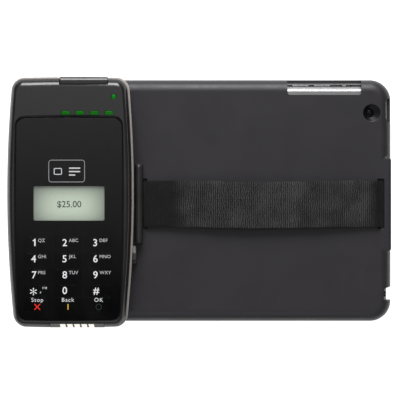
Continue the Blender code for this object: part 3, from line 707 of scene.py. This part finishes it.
def front_levels():
    """The front housing's flank and its rounded shoulder, as (inset, top end, height)."""
    lean = HALF_LENGTH - TOP_LEAN
    levels = [(1.25, lean, FRONT_RIM), (1.05, lean, FRONT_RIM + 0.2), (1.0, lean, FRONT_RIM + 0.6)]
    for c, s in arc(12):
        top = HALF_LENGTH - (TOP_LEAN + SHOULDER_TOP_EXTRA * (1 - c))
        levels.append((1.0 + SHOULDER_WIDE * (1 - c), top, SHOULDER_LOW + (FACE - SHOULDER_LOW) * s))
    return levels


def make_front_shell():
    shell = to_object("front_shell", [stack(barrel, front_levels())])
    side = GROOVE_SIDE + 0.1
    rise = GROOVE_TOP + 0.1
    pocket = ((0.12, 0.0, POCKET_FLOOR), (0.12, 0.0, POCKET_FLOOR + 0.1), (GROOVE_SIDE, GROOVE_TOP, FACE - 0.04),
              (side, rise, FACE), (side, rise, ABOVE_FACE))
    cut(shell, stack(barrel, ((2.8, PARTING), (2.8, SHOULDER_LOW), (3.6, FACE_INSIDE))), stack(panel_outline, pocket))
    join(shell, *[pillar(circle(x, y, BOSS_R, 32), 18.6, 35.0) for x, y in SCREWS])
    light = ((0.15, UNDER_FACE), (0.15, FACE - 0.15), (0.35, FACE), (0.35, ABOVE_FACE))
    scanner = [(64.6, PARTING), (74.0, PARTING), (74.0, ABOVE_FACE), (65.4, ABOVE_FACE), (65.4, 34.0), (64.6, 34.0)]
    charging = [(-BEYOND_ENDS, PARTING), (-65.9, PARTING), (-65.9, 31.6), (-67.4, 31.6), (-67.4, ABOVE_FACE),
                (-BEYOND_ENDS, ABOVE_FACE)]
    cut(shell, *[pillar(circle(x, y, PILOT_R, 24), 18.0, 27.0) for x, y in SCREWS],
        pillar(rounded(DISPLAY_X, DISPLAY_Y, 40.3, 19.9, 1.0), UNDER_FACE, 36.5),
        block((-99.9, -48.8), (-62.3, -18.5), (UNDER_FACE, 36.5)),
        *[mouth(x, BAR_Y, BAR_WIDTH + 0.3, BAR_HEIGHT + 0.3, 0.7, UNDER_FACE, FACE, 0.12) for x in BAR_CENTRES],
        turned(*POWER_LIGHT, [(POWER_LIGHT_R + grow, z) for grow, z in light]),
        along_x(scanner, about(SCANNER_X, SCANNER_WIDTH / 2 + 0.3)),
        along_x(charging, about(BLOCK_X, BLOCK_WIDTH / 2 + 0.2)))
    look = moulded("front_plastic", (0.0195, 0.0188, 0.0198), 0.19, 0.5, 0.006)
    # Painted shade: the plastic reflects less low down, on the flanks and in the groove round the panel, and less
    # again towards the foot end.
    shade_by_height = look.spread(look.axis(2), 0.04, 0.62, 34.0, 36.6)
    look.shine(look.times(shade_by_height, look.spread(look.axis(1), 0.3, 1.0, -70.5, -64.0)))
    dress(shell, look, "terminal", "front_housing")


def make_trim():
    """The band between the housings, with painted light: paler at the top end and the right side, as in the photo,
    and darker as painted shade at the left side and towards the foot end.
    """
    middle = (TRIM_LOW + TRIM_HIGH) / 2
    angles = [math.pi * (i / 8 - 0.5) for i in range(9)]
    edge = [(0.45 - 0.45 * math.cos(angle), middle + 0.69 * math.sin(angle)) for angle in angles]
    levels = [(2.2, TRIM_LOW), (0.5, TRIM_LOW)] + edge + [(0.5, TRIM_HIGH), (2.2, TRIM_HIGH)]
    pale = (0.55, 0.51, 0.48)
    look = metal("trim_satin", pale, 0.36, 0.5)
    look.shine(0.12)
    # Painted light and shade: the colour runs from pale where the trim is lit to dark where it is in shade, and its
    # metallic share follows.
    painted_light_right = look.ramp(look.axis(0), TERMINAL_X - 26.0, TERMINAL_X + 20.0)
    y = look.axis(1)
    painted_light_foot = look.times(painted_light_right, look.spread(y, 0.35, 1.0, -71.0, -60.0))
    painted_light_share = look.math("MAXIMUM", look.ramp(y, 60.0, 70.0), painted_light_foot)
    look.between(painted_light_share, (0.04, 0.038, 0.037), pale)
    look.set("Metallic", look.times(painted_light_share, 0.4))
    piece("trim_ring", stack(barrel, levels), look, "terminal", "trim_band", band=True)


def rail_profile(x, extra, low, high):
    """The cross-section of a dock rail, or of the groove around it."""
    neck = RAIL_NECK / 2 + extra
    head = RAIL_HEAD / 2 + extra
    under = PLATE_HIGH + 1.0 - extra
    return [(x - neck, low), (x + neck, low), (x + neck, under), (x + head, under + 0.5),
            (x + head, high), (x - head, high), (x - head, under + 0.5), (x - neck, under)]


def make_rear_shell():
    rounding = [(0.6 + 5.8 * (1 - s), REAR_FACE + 6.0 * (1 - c)) for c, s in arc(8)[1:]]
    levels = [(6.4, REAR_FACE)] + rounding + [(0.6, REAR_RIM - 0.3), (0.8, REAR_RIM)]
    shell = to_object("rear_shell", [stack(barrel, levels)])
    right = TERMINAL_X + 29.6
    bay = rounded((SWIPE_WALL + right) / 2, 0.4, right - SWIPE_WALL, 134.0, 3.0)
    ends = (-BEYOND_ENDS, RAIL_ENDS[1] + 4.0)
    cut(shell, pillar(bay, REAR_FLOOR, PARTING),
        *[along_y(rail_profile(x, 0.35, UNDER_REAR, RAIL_HIGH + 0.4), ends) for x in RAIL_X])
    side = ((0.7, 24.3), (0.7, 15.1), (1.2, 14.2), (1.2, UNDER_REAR))
    groove = mirrored([(SWIPE_X - x, z) for x, z in side], SWIPE_X)
    lips = ((-BEYOND_ENDS, 0.4), (-70.0, 0.4), (-69.2, 0.0), (-65.0, 0.0))
    slot = [(y, CARD_SLOT_LOW - wide) for y, wide in lips]
    slot += [(y, CARD_SLOT_HIGH + wide) for y, wide in reversed(lips)]
    recess = ((2.5, UNDER_REAR), (2.5, REAR_FACE), (2.3, 14.6), (2.3, 16.4), (PILOT_R, 16.4), (PILOT_R, 19.0))
    cut(shell, along_y(groove, (-BEYOND_ENDS, BEYOND_ENDS)),
        along_x(slot, about(CARD_SLOT_X, CARD_SLOT_WIDTH / 2)),
        *[turned(x, y, recess, 32) for x, y in SCREWS],
        block((-43.4, -34.0), (-33.6, -24.6), (UNDER_REAR, 17.0)))
    cut(shell, block((SWIPE_X + 0.2, SWIPE_WALL + 1.0), (-5.7, 4.9), (REAR_FLOOR - 0.1, 23.1)))
    dress(shell, moulded("rear_plastic", (0.04, 0.039, 0.041), 0.5, 0.6, 0.02), "terminal", "rear_housing")


def make_face_panel():
    levels = ((0.0, PANEL_LOW), (0.0, PANEL_HIGH - 0.03), (-0.01, PANEL_HIGH - 0.01), (-0.03, PANEL_HIGH))
    panel = to_object("face_panel", [stack(panel_outline, levels)])
    holes = [(x, y, KEY_WIDTH + 2 * KEY_GAP, height + 2 * KEY_GAP)
             for y, height in zip(KEY_ROWS, KEY_HEIGHTS) for x in KEY_COLUMNS]
    cut(panel, mouth(DISPLAY_X, DISPLAY_Y, DISPLAY_WIDTH, DISPLAY_HEIGHT, 0.8, UNDER_PANEL, PANEL_HIGH, 0.1),
        *[mouth(*hole, 1.45, UNDER_PANEL, PANEL_HIGH, 0.01) for hole in holes])
    dress(panel, gloss("panel_gloss", (0.0032, 0.0032, 0.0037)), "terminal", "lens_panel")


def lettering(name, text, height, x, y, body, look, bold=0.0, spacing=1.0, centred=False, base=PANEL_HIGH):
    """Printed characters on the face, with that cap height, starting at x or centred on it."""
    data = bpy.data.curves.new(name, "FONT")
    data.body = text
    data.resolution_u = 6
    data.offset = bold
    data.space_character = spacing
    data.extrude = STROKE
    source = linked(name + "_source", data)
    mesh = baked(source)
    bpy.data.objects.remove(source, do_unlink=True)
    xs = [v.co.x for v in mesh.vertices]
    scale = height / CAP_HEIGHT
    start = (min(xs) + max(xs)) / 2 if centred else min(xs)
    for v in mesh.vertices:
        z = base + 0.015 + v.co.z / STROKE * 0.012
        v.co = Vector(((v.co.x - start) * scale + x, (v.co.y - CAP_HEIGHT / 2) * scale + y, z)) * MM
    made = linked(name, mesh)
    made.data.materials.append(look.made)
    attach(made, body)


def printed(outline):
    return pillar(outline, PRINT_LOW, PRINT_HIGH)


def printed_line(inner, outer):
    """A printed line between two outlines, as a band."""
    return printed(inner)[:1] + printed(outer) + printed(inner)[1:]


def digit_one(x, y):
    """A one with a flag, which the built-in type doesn't have."""
    outline = ((0.26, 0.0), (0.46, 0.0), (0.46, 1.0), (0.31, 1.0), (0.23, 0.86), (0.07, 0.8), (0.07, 0.66),
               (0.26, 0.7))
    return printed([(x + u * DIGIT_HEIGHT, y + (v - 0.5) * DIGIT_HEIGHT) for u, v in outline])


def print_legends(node, x, y, row, column, white, grey):
    """What is printed on one key."""
    body = node + "_cap"
    if row == 4:
        lettering(node + "_word", WORDS[column], 2.3, x + 0.1, y + 2.7, body, white, 0.0, 1.2, True)
        return
    digit = DIGITS[row][column]
    if digit == "1":
        mark(node + "_digit", digit_one(x - 2.7, y + 0.12), white, body)
    elif digit == "*":
        lettering(node + "_digit", digit, 6.8, x - 3.9, y - 1.88, body, white)
        lettering(node + "_marks", ",'\"", 3.2, x + 1.6, y + 0.4, body, grey, 0.01, 1.2)
    else:
        left = x - 3.0 + DIGIT_SHIFTS.get(digit, 0.0)
        lettering(node + "_digit", digit, DIGIT_HEIGHT, left, y + 0.12, body, white, 0.012)
    if digit in LETTERS:
        lettering(node + "_letters", LETTERS[digit], 1.9, x + 0.55, y + 1.3, body, grey, 0.004, 1.08)


def make_keys():
    look = gloss("key_gloss", (0.0022, 0.0022, 0.0025), 0.1)
    white = ink("legend_white", (0.92, 0.92, 0.94))
    grey = ink("legend_grey", (0.62, 0.62, 0.64))
    for row, (y, height) in enumerate(zip(KEY_ROWS, KEY_HEIGHTS)):
        for column, x in enumerate(KEY_COLUMNS):
            node = "key_" + KEYS[row][column]
            base = cap(x, y, KEY_WIDTH + 2 * KEY_FLANGE, height + 2 * KEY_FLANGE, 1.6, KEY_BASE, KEY_SHOULDER, 0.1)
            key = to_object(node + "_cap", [base])
            join(key, cap(x, y, KEY_WIDTH, height, 1.4, KEY_SHOULDER - 0.3, PANEL_HIGH, 0.02))
            dress(key, look, node + "_cap", node)
            print_legends(node, x, y, row, column, white, grey)


def make_key_symbols():
    """A cross, a bar and a ring under the three words."""
    y = KEY_ROWS[4] - 1.3
    cross_x, bar_x, ring_x = (x + 0.1 for x in KEY_COLUMNS)
    arm = 2.25
    thick = 0.29
    outline = []
    for quarter in range(4):
        turn = math.radians(45 + 90 * quarter)
        c = math.cos(turn)
        s = math.sin(turn)
        for along, across in ((thick, -thick), (arm, -thick), (arm, thick)):
            outline.append((cross_x + c * along - s * across, y + s * along + c * across))
    mark("cancel_cross", printed(outline), ink("mark_red", (1.0, 0.02, 0.0)), "key_cancel_cap")
    bar = printed(rounded(bar_x, y, 0.6, 3.2, 0.15, 3))
    mark("clear_bar", bar, ink("mark_yellow", (0.75, 0.5, 0.02)), "key_clear_cap")
    ring = printed_line(circle(ring_x, y, 1.35), circle(ring_x, y, 1.75))
    mark("enter_ring", ring, ink("mark_green", (0.0, 0.02, 0.009)), "key_enter_cap", True)


def make_tap_mark():
    """A plain picture of a card, where a card is held to the face."""
    white = ink("tap_mark_white", (0.7, 0.7, 0.72))
    grey = ink("tap_mark_grey", (0.3, 0.3, 0.32))
    x, y = TAP_MARK
    card = printed_line(rounded(x, y, 19.56, 11.76, 1.28), rounded(x, y, 20.4, 12.6, 1.7))
    mark("tap_card_outline", card, grey, "terminal", True)
    chip = printed_line(rounded(x - 4.9, y - 0.2, 3.6, 2.8, 0.3), rounded(x - 4.9, y - 0.2, 4.6, 3.8, 0.8))
    mark("tap_card_chip", chip, white, "terminal", True)
    for i, length in enumerate((6.4, 6.4, 3.6)):
        line = rounded(x + 1.2 + length / 2, y + 1.6 - 1.9 * i, length, 0.75, 0.3, 3)
        mark("tap_card_line_%d" % (i + 1), printed(line), white, "terminal")


def make_display():
    repaint(liquid_crystal(), "lcd_module")
    glass = cap(DISPLAY_X, DISPLAY_Y, 39.3, 18.9, 0.6, 36.05, 36.85, 0.12)
    piece("display_glass", glass, clear_cover(), "terminal", "display_window")
    lettering("display_amount", "$25.00", 3.65, -73.7, -1.15, "terminal", ink("display_ink", (0.02, 0.022, 0.02)),
              0.014, centred=True, base=DISPLAY_FACE)


def make_lights():
    pipe = rounded((BAR_CENTRES[0] + BAR_CENTRES[3]) / 2, BAR_Y, 30.2, 3.6, 0.8)
    bar = to_object("contactless_lights", [pillar(pipe, 32.9, 34.1)])
    for x in BAR_CENTRES:
        join(bar, cap(x, BAR_Y, BAR_WIDTH, BAR_HEIGHT, 0.55, 33.5, FACE - 0.02, 0.3))
    dress(bar, lens_light("light_pipe_green", (0.001, 0.085, 0.001), 0.6), "terminal", "contactless_light_pipe")
    dome = [(POWER_LIGHT_R, 32.9)] + [(POWER_LIGHT_R * c, 36.6 + 0.45 * s) for c, s in arc(6)[:-1]]
    piece("power_light", turned(*POWER_LIGHT, dome), lens_light("power_light_green", (0.001, 0.1, 0.004), 0.8),
          "terminal", "power_led")


def make_scanner():
    """The window in the top end; its two ends are drawn in towards its inner lower corner."""
    profile = softened(SCANNER_PROFILE, 0.55)
    half = SCANNER_WIDTH / 2
    inner, base = SCANNER_PROFILE[0]
    sections = []
    for x, less in mirrored(((-half, 0.45), (0.13 - half, 0.13), (0.45 - half, 0.0))):
        sections.append([(SCANNER_X + x, y - less * (y - inner) / SCANNER_DEEP, z - less * (z - base) / SCANNER_TALL)
                         for y, z in profile])
    piece("scanner_cover", sections, gloss("scanner_glass", (0.012, 0.012, 0.0125), 0.12), "terminal",
          "scanner_window")


def sloped_block(x, width, length, low, high):
    """A box on the sloping face of the charging block; low and high are measured out of the face."""
    turn = Matrix.Rotation(CONTACT_SLOPE, 3, "X")
    centre = Vector((x, *CONTACT_PLACE))
    edge = 0.12
    rings = []
    for side, less in mirrored(((-width / 2, edge), (edge - width / 2, 0.0))):
        reach = length / 2 - less
        corners = ((-reach, low), (reach, low), (reach, high - less), (-reach, high - less))
        rings.append([centre + turn @ Vector((side, along, out)) for along, out in corners])
    return rings


def make_charging_contacts():
    made = to_object("charging_mount", [along_x(softened(BLOCK_PROFILE, 0.35), about(BLOCK_X, BLOCK_WIDTH / 2))])
    cut(made, *[sloped_block(x, CONTACT_WIDTH + 0.4, CONTACT_LENGTH + 0.4, -0.6, 2.0) for x in CONTACT_CENTRES])
    dress(made, moulded("charging_plastic", (0.02, 0.02, 0.02), 0.5), "terminal", "charging_block")
    plated = metal("contact_plating", (0.88, 0.85, 0.78), 0.34, 0.8, (0.3, 1.0, 1.0))
    for i, x in enumerate(CONTACT_CENTRES, 1):
        pad = sloped_block(x, CONTACT_WIDTH, CONTACT_LENGTH, -0.3, 0.12)
        piece("contact_pad_%d" % i, pad, plated, "terminal", "charging_contact_%d" % i)


# Sleeve, strap and dock

def sleeve_levels():
    """A small round at the rim, and a back edge that is a quarter of an ellipse."""
    levels = [(SLEEVE_GROW - inset, z) for inset, z in ((0.35, 0.0), (0.1, 0.12), (0.0, 0.4))]
    for c, s in arc(14):
        levels.append((SLEEVE_GROW - SLEEVE_FILLET * (1 - c), FILLET_START + (SLEEVE_BACK - FILLET_START) * s))
    return levels


def anchor_block():
    """The fuller edge around the strap's right slot, which fades into the fillet at both ends."""
    fade = [(ANCHOR_ENDS[0] + ANCHOR_FADE * i / 8, i / 8) for i in range(9)]
    sections = []
    for y, share in mirrored(fade, sum(ANCHOR_ENDS) / 2):
        lost = (1 - share) ** 1.6
        edge = SLEEVE_EDGE - 4.5 * lost
        top = SLEEVE_BACK - 1.6 * lost
        profile = [(ANCHOR_START, 5.0), (edge, 5.0)]
        profile += [(edge - ANCHOR_ROUND * (1 - c), top - ANCHOR_ROUND * (1 - s)) for c, s in arc(6)]
        profile.append((ANCHOR_START, top))
        sections.append([(x, y, z) for x, z in profile])
    return sections


def strap_slot(x, wide):
    """A cutter for a strap's slot, which is wider inside the sleeve."""
    middle = STRAP_Y + 0.3
    rings = pillar(rounded(x, middle, wide + 2.2, 31.6, 0.6), 7.0, 9.4)
    return rings + swollen(x, middle, wide, 28.6, 0.6, (
        (0.0, 9.4), (0.0, SLEEVE_BACK - 0.25), (0.1, SLEEVE_BACK - 0.08), (0.3, SLEEVE_BACK), (0.3, ABOVE_BACK)))


def make_sleeve():
    shell = to_object("sleeve_body", [stack(tablet_outline, sleeve_levels())])
    join(shell, anchor_block())
    cut(shell, stack(tablet_outline, ((0.3, -1.0), (0.3, 5.6), (0.0, 6.4), (-0.6, 7.1), (-1.6, 7.7), (-3.2, 8.0))))
    window = [(49.6, 75.0), (49.6, 61.5), (92.2, 61.5), (92.2, 75.0)]
    corner = [(106.2, 46.1), (115.0, 46.1), (115.0, 59.6), (106.2, 59.6)]
    funnel = ((LENS_X, 2.65, 7.0), (LENS_X, 2.65, 8.25), (CAMERA_X - 0.05, CAMERA_HOLE_R - 0.1, SLEEVE_BACK - 0.35),
              (CAMERA_X, CAMERA_HOLE_R + 0.15, SLEEVE_BACK - 0.1), (CAMERA_X, CAMERA_HOLE_R + 0.6, SLEEVE_BACK + 0.1),
              (CAMERA_X, CAMERA_HOLE_R + 0.8, ABOVE_BACK))
    cut(shell, pillar(softened(window, 1.6), RIM_HIGH, ABOVE_BACK),
        pillar(softened(corner, 2.4), RIM_HIGH, ABOVE_BACK),
        pillar(softened(SOCKET_NOTCH, 0.6), -1.0, ABOVE_BACK),
        [at_height(circle(x, CAMERA_Y, r, 64), z) for x, r, z in funnel],
        strap_slot(STRAP_LEFT, 3.0), strap_slot(STRAP_RIGHT, 3.8))
    look = moulded("sleeve_soft_touch", (0.0212, 0.0189, 0.0232), 0.45, 0.5, 0.01, 0.05)
    # Painted shade: inside the camera hole, below the back's surface, the colour goes near black.
    across, along = (look.math("POWER", look.minus(look.axis(i), centre), 2.0)
                     for i, centre in enumerate((CAMERA_X, CAMERA_Y)))
    inside = look.math("LESS_THAN", look.plus(across, along), (CAMERA_HOLE_R + 0.1) ** 2)
    recess = look.times(inside, look.math("LESS_THAN", look.axis(2), SLEEVE_BACK - 0.06))
    look.between(recess, look.plain(), 0.004)
    dress(shell, look, "sleeve", "sleeve_shell", smooth=40)


def strap_path():
    """The middle of the strap's thickness, from the left slot to the right one, as (x, z)."""
    start = [(STRAP_LEFT, STRAP_END_Z)]
    for c, s in arc(12, STRAP_LEAVES):
        start.append((STRAP_LEFT + STRAP_BEND_R * (1 - c), STRAP_BEND_Z + STRAP_BEND_R * s))
    low_x, low_z = start[-1]
    middle = (STRAP_LEFT + STRAP_RIGHT) / 2
    half = middle - low_x
    bow = []
    for i in range(1, STRAP_STEPS):
        x = low_x + 2 * half * i / STRAP_STEPS
        bow.append((x, low_z + STRAP_BOW * (1 - ((x - middle) / half) ** 2)))
    return start + bow + [(2 * middle - x, z) for x, z in reversed(start)]


def evenly(points, pitch):
    """The same path with its points a pitch apart, each with its distance from the start."""
    result = []
    travelled = 0.0
    due = 0.0
    for a, b in zip(points, points[1:]):
        step = math.dist(a, b)
        while due <= travelled + step:
            t = (due - travelled) / step
            result.append((a[0] + (b[0] - a[0]) * t, a[1] + (b[1] - a[1]) * t, due))
            due += pitch
        travelled += step
    return result, travelled


def make_strap():
    """Elastic webbing with a rib across it every RIB_PITCH, rolled selvages and a little slack."""
    path, length = evenly(strap_path(), RIB_PITCH / 4)
    rings = []
    for i, (x, z, s) in enumerate(path):
        before_x, before_z, _ = path[max(i - 1, 0)]
        after_x, after_z, _ = path[min(i + 1, len(path) - 1)]
        along = Vector((after_x - before_x, 0, after_z - before_z)).normalized()
        out = Vector((-along.z, 0, along.x))
        ends = min(1.0, s / 12.0, (length - s) / 12.0)
        sway = ends * 0.35 * math.sin(s / 17.0 + 0.6)
        narrow = STRAP_WIDTH / 2 - 0.25 + 0.12 * math.sin(s / 3.1) * ends
        rib = 0.07 * math.cos(2 * math.pi * s / RIB_PITCH)
        ring = []
        for side in (-1, 1):
            for c in range(STRAP_COLUMNS + 1):
                across = side * (c / STRAP_COLUMNS * 2 - 1)
                selvage = abs(across) ** 14
                half = STRAP_THICK / 2 * (1 - 0.55 * selvage)
                slack = ends * 0.22 * math.sin(s / 9.0 + across * 1.4)
                rise = side * (half - 0.07 + rib * (1 - selvage)) - slack
                ring.append(Vector((x, STRAP_Y + sway + across * narrow, z)) + out * rise)
        rings.append(ring)
    strap = to_object("strap_band", [rings])
    dress(strap, webbing(), "sleeve", "hand_strap", smooth=60)


def column():
    """A half-round bar with domed ends beside the terminal."""
    middle = (COLUMN_LEFT + COLUMN_RIGHT) / 2
    radius = (COLUMN_RIGHT - COLUMN_LEFT) / 2
    dome = [(COLUMN_ENDS[0] + 2.4 * (1 - c), 0.3 + 0.7 * s) for c, s in arc(8)]
    sections = []
    for y, size in mirrored(dome, sum(COLUMN_ENDS) / 2):
        arch = [(COLUMN_LEFT, y, 12.5), (COLUMN_RIGHT, y, 12.5)]
        arch += [(middle + radius * c, y, COLUMN_SPRING + (COLUMN_HIGH - COLUMN_SPRING) * size * s)
                 for c, s in arc(16, math.pi)]
        sections.append(arch)
    return sections


def make_dock():
    dock = to_object("dock_rails", [cap(-64.2, -4.0, 46.4, 108.0, 3.0, PLATE_LOW, PLATE_HIGH, 0.5)])
    low, high = COLUMN_ENDS
    join(dock, cap((PLATE_RIGHT + COLUMN_RIGHT) / 2, (low + high) / 2, COLUMN_RIGHT - PLATE_RIGHT, high - low, 1.0,
                   PLATE_LOW + 0.05, PLATE_HIGH - 0.05, 0.4))
    join(dock, cap((PLATE_RIGHT - 36.7) / 2, (low - 34.2) / 2, 8.3, 12.7, 0.6,
                   PLATE_LOW + 0.1, PLATE_HIGH - 0.1, 0.3))
    join(dock, column(),
         *[along_y(softened(rail_profile(x, 0.0, UNDER_REAR, RAIL_HIGH), 0.2, 2), RAIL_ENDS) for x in RAIL_X],
         cap(-38.2, -34.3, 2.4, 1.8, 0.4, UNDER_REAR, 16.2, 0.3))
    cut(dock, block((-80.3, -58.7), (-55.0, -48.0), (11.6, 15.0)))
    dress(dock, moulded("dock_plastic", (0.026, 0.026, 0.027), 0.42), "sleeve", "dock_cradle")


def make_latch():
    profile = ((-39.6, 14.6), (-37.3, 14.6), (-37.3, 16.3), (-37.6, 16.8), (-39.2, 16.8), (-39.6, 16.4))
    slider = to_object("latch_slider", [along_y(softened(profile, 0.3), (-33.0, -25.2))])
    cut(slider, *[block((-45.0, -35.0), (y, y + 0.4), (16.5, 17.5)) for y in (-31.9, -30.9, -29.9)])
    look = moulded("latch_plastic", (0.19, 0.19, 0.18), 0.45)
    upper = look.ramp(look.axis(1), -29.6, -28.8)
    look.between(upper, (0.09, 0.09, 0.085), (0.36, 0.36, 0.34))
    dress(slider, look, "latch", "release_latch")


# Tablet

def make_tablet_body():
    levels = [(-0.3, TABLET_LOW), (0.0, TABLET_LOW + 0.3), (0.0, 2.5), (-0.1, 2.8), (-1.9, 5.9)]
    for i, (_, s) in enumerate(arc(10)[1:], 1):
        levels.append((-1.9 - 2.5 * s * (0.6 + 0.4 * i / 10), 5.9 + 1.8 * s))
    housing = to_object("tablet_shell", [stack(tablet_outline, levels)])
    cut(housing, stack(tablet_outline, ((-1.4, 0.0), (-1.4, 2.6), (-3.7, 6.3))))
    slots = [along_y(rounded((low + high) / 2, EDGE_MIDDLE, high - low, 2.0, 0.9), (65.0, 72.0))
             for low, high in ((51.9, 63.2), (64.4, 75.5), (80.7, 86.9))]
    cut(housing, *slots, along_x(rounded(POWER_BUTTON_Y, EDGE_MIDDLE, 10.7, 2.0, 0.9), (103.0, 110.0)),
        pillar(circle(LENS_X, CAMERA_Y, LENS_R + 0.2), 5.0, 9.0),
        along_x(circle(SOCKET_Y, EDGE_MIDDLE, SOCKET_R, 32), (100.0, 110.0)))
    look = metal("tablet_aluminium", (0.36, 0.36, 0.365), 0.42, 0.3)
    # Painted shade: the slanted edge below about 6 mm is darker, and beside the power button the metal is near black.
    beside = look.math("ABSOLUTE", look.minus(look.axis(1), 53.2))
    shade_by_button = look.times(look.math("GREATER_THAN", look.axis(0), 105.2), look.math("LESS_THAN", beside, 8.0))
    slanted = look.ramp(look.axis(2), 5.6, 6.2)
    shaded = look.mixed(slanted, (0.12, 0.12, 0.122), look.plain())
    look.between(shade_by_button, shaded, 0.03)
    dress(housing, look, "tablet", "tablet_housing")


def slanted_key(along, reach, width, x_axis):
    """A pill-shaped key in the tablet's slanted edge; reach is its outer face's place, at its middle."""
    sections = []
    for out, less in ((-2.2, 0.0), (-0.35, 0.0), (-0.12, 0.07), (-0.03, 0.18), (0.0, 0.36)):
        section = []
        for u, z in rounded(along, EDGE_MIDDLE, width - less, 1.6 - less, 0.78 - less / 2):
            v = reach + out - BUTTON_SLANT * (z - EDGE_MIDDLE)
            section.append((u, v, z) if x_axis else (v, u, z))
        sections.append(section)
    return sections


def make_edge_buttons():
    # Lit and shaded copies of one metal: the volume keys and mute switch are darker as painted shade, the power
    # button paler as painted light.
    grey = metal("button_aluminium", (0.16, 0.16, 0.165), 0.3, 0.2, (0.3, 1.0, 1.0))
    lit_power_metal = metal("power_aluminium", (0.9, 0.9, 0.91), 0.5, 0.2, (1.0, 0.3, 1.0))
    for name, low, high in (("volume_up", 52.2, 62.9), ("volume_down", 64.7, 75.2), ("mute_switch", 81.0, 84.5)):
        key = slanted_key((low + high) / 2, 67.65, high - low, True)
        piece(name + "_key", key, grey, name + "_piece", name)
    piece("power_button_key", slanted_key(POWER_BUTTON_Y, 106.75, 10.1, False), lit_power_metal, "power_button_piece",
          "power_button")


def make_home_button():
    dish = [(4.85 * c, 0.6 + 0.2 * s) for c, s in arc(8)[:-1]]
    disc = turned(HOME_X, TABLET_Y, [(5.0, 1.9), (5.0, 0.75)] + dish, 64)
    piece("home_button_disc", disc, gloss("home_gloss", (0.012, 0.012, 0.013), 0.15), "home_button_piece",
          "home_button")


def make_camera_unit():
    outline = ((LENS_R, 4.6), (LENS_R, 7.6), (LENS_R - 0.15, 7.72), (LENS_R - 0.6, 7.72), (LENS_R - 0.75, 7.5),
               (LENS_R - 0.75, 4.6))
    dark = metal("camera_ring_metal", (0.012, 0.012, 0.013), 0.5)
    piece("camera_ring", turned(LENS_X, CAMERA_Y, outline, 48), dark, "tablet", "camera_lens", band=True)
    dome = [(1.75, 5.0)] + [(1.75 * c, 7.0 + 0.35 * s) for c, s in arc(6)[:-1]]
    look = gloss("camera_glass_dark", (0.003, 0.003, 0.005), 0.06)
    look.shine(0.2)
    piece("camera_glass", turned(LENS_X, CAMERA_Y, dome, 48), look, "tablet")


def repaint(look, *names):
    """A better material on CAD nodes that keep their shape."""
    for name in names:
        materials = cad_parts[name].data.materials
        materials.clear()
        materials.append(look.made)


def repaint_cad_nodes():
    repaint(tablet_front(), "tablet_glass")
    repaint(metal("screw_steel", (0.5, 0.5, 0.51), 0.3), *["housing_screw_%d" % i for i in range(1, 5)])
    # Painted shade: the strap anchors, seen through the slots, are made near black.
    steel = metal("anchor_steel", (0.03, 0.03, 0.032), 0.5, 0.3, (1.0, 0.1, 1.0))
    repaint(steel, "strap_anchor_left", "strap_anchor_right")
    repaint(moulded("connector_plastic", (0.02, 0.02, 0.02), 0.4), "dock_connector")
    repaint(rubber("membrane_rubber", (0.16, 0.16, 0.17)), "keypad_membrane")
    repaint(circuit_board(), "main_board")
    repaint(moulded("battery_sleeve", (0.12, 0.13, 0.16), 0.45), "battery", "tablet_cell")
    repaint(moulded("reader_plastic", (0.05, 0.05, 0.055), 0.5), "card_reader", "scanner_engine")
    repaint(metal("head_steel", (0.55, 0.55, 0.56), 0.2), "magstripe_head")
    repaint(metal("antenna_copper", (0.72, 0.36, 0.2), 0.35), "contactless_antenna")


# Camera, floor and light

def make_camera():
    data = bpy.data.cameras.new("camera")
    data.lens = CAMERA_LENS
    data.sensor_width = 36.0
    data.clip_start = 0.01
    made = linked("camera", data)
    made.location = Vector(CAMERA_AT) * MM
    bpy.context.scene.camera = made


def make_floor():
    """White paper that fills the view, a little below the sleeve's rim; sizes are in metres."""
    data = bpy.data.meshes.new("floor")
    corners = ((-4.0, -4.0), (4.0, -4.0), (4.0, 4.0), (-4.0, 4.0))
    data.from_pydata(at_height(corners, -0.0002), [], [(0, 1, 2, 3)])
    floor = linked("floor", data)
    paper = Look("floor_paper", (0.5, 0.5, 0.5), 0.9)
    paper.vary(paper.noise(300.0), 0.01)
    paper.shine(0.0)
    paper.glow(1.0, 0.98)
    data.materials.append(paper.made)


def make_softbox():
    """The one lamp, beyond the terminal's top end; sizes are in metres."""
    at = Vector((0.0, 2.0, 1.55))
    data = bpy.data.lights.new("key_box", "AREA")
    data.shape = "RECTANGLE"
    data.size = 1.2
    data.size_y = 1.5
    data.energy = 60.0
    made = linked("key_box", data)
    made.location = at
    made.rotation_euler = (-at).to_track_quat("-Z", "Y").to_euler()


def make_world():
    """A studio tent: bright towards the top end and the foot, dark at the sides, pale at the horizon."""
    world = bpy.data.worlds.new("studio")
    bpy.context.scene.world = world
    world.use_nodes = True
    sky = Tree(world.node_tree, "Generated")
    x, y, z = (sky.axis(i) for i in range(3))
    towards_top = sky.spread(y, 0.01, 0.73, -0.06, 0.09)
    overhead = sky.ramp(z, 0.9, 0.97)
    foot_or_top = sky.spread(y, 1.0, 0.65, -0.25, 0.25)
    around = sky.times(foot_or_top, sky.spread(sky.math("ABSOLUTE", x), 1.0, 0.12, 0.15, 0.6))
    raised = sky.spread(z, 0.04, 1.0, 0.3, 0.65)
    below_top = sky.ramp(z, 0.97, 0.9)
    walls = sky.times(sky.times(around, raised), below_top)
    horizon = sky.spread(z, 0.4, 0.0, 0.0, 0.05)
    total = sky.plus(sky.times(towards_top, overhead), sky.plus(walls, horizon))
    background = sky.nodes["Background"]
    sky.feed(background.inputs["Color"], rgba(1.0))
    sky.feed(background.inputs["Strength"], total)


make_camera()
make_floor()
make_world()
make_softbox()
bpy.context.scene.view_settings.view_transform = "Standard"
make_front_shell()
make_trim()
make_rear_shell()
make_face_panel()
make_keys()
make_key_symbols()
make_tap_mark()
make_display()
make_lights()
make_scanner()
make_charging_contacts()
make_sleeve()
make_strap()
make_dock()
make_latch()
make_tablet_body()
make_edge_buttons()
make_home_button()
make_camera_unit()
repaint_cad_nodes()
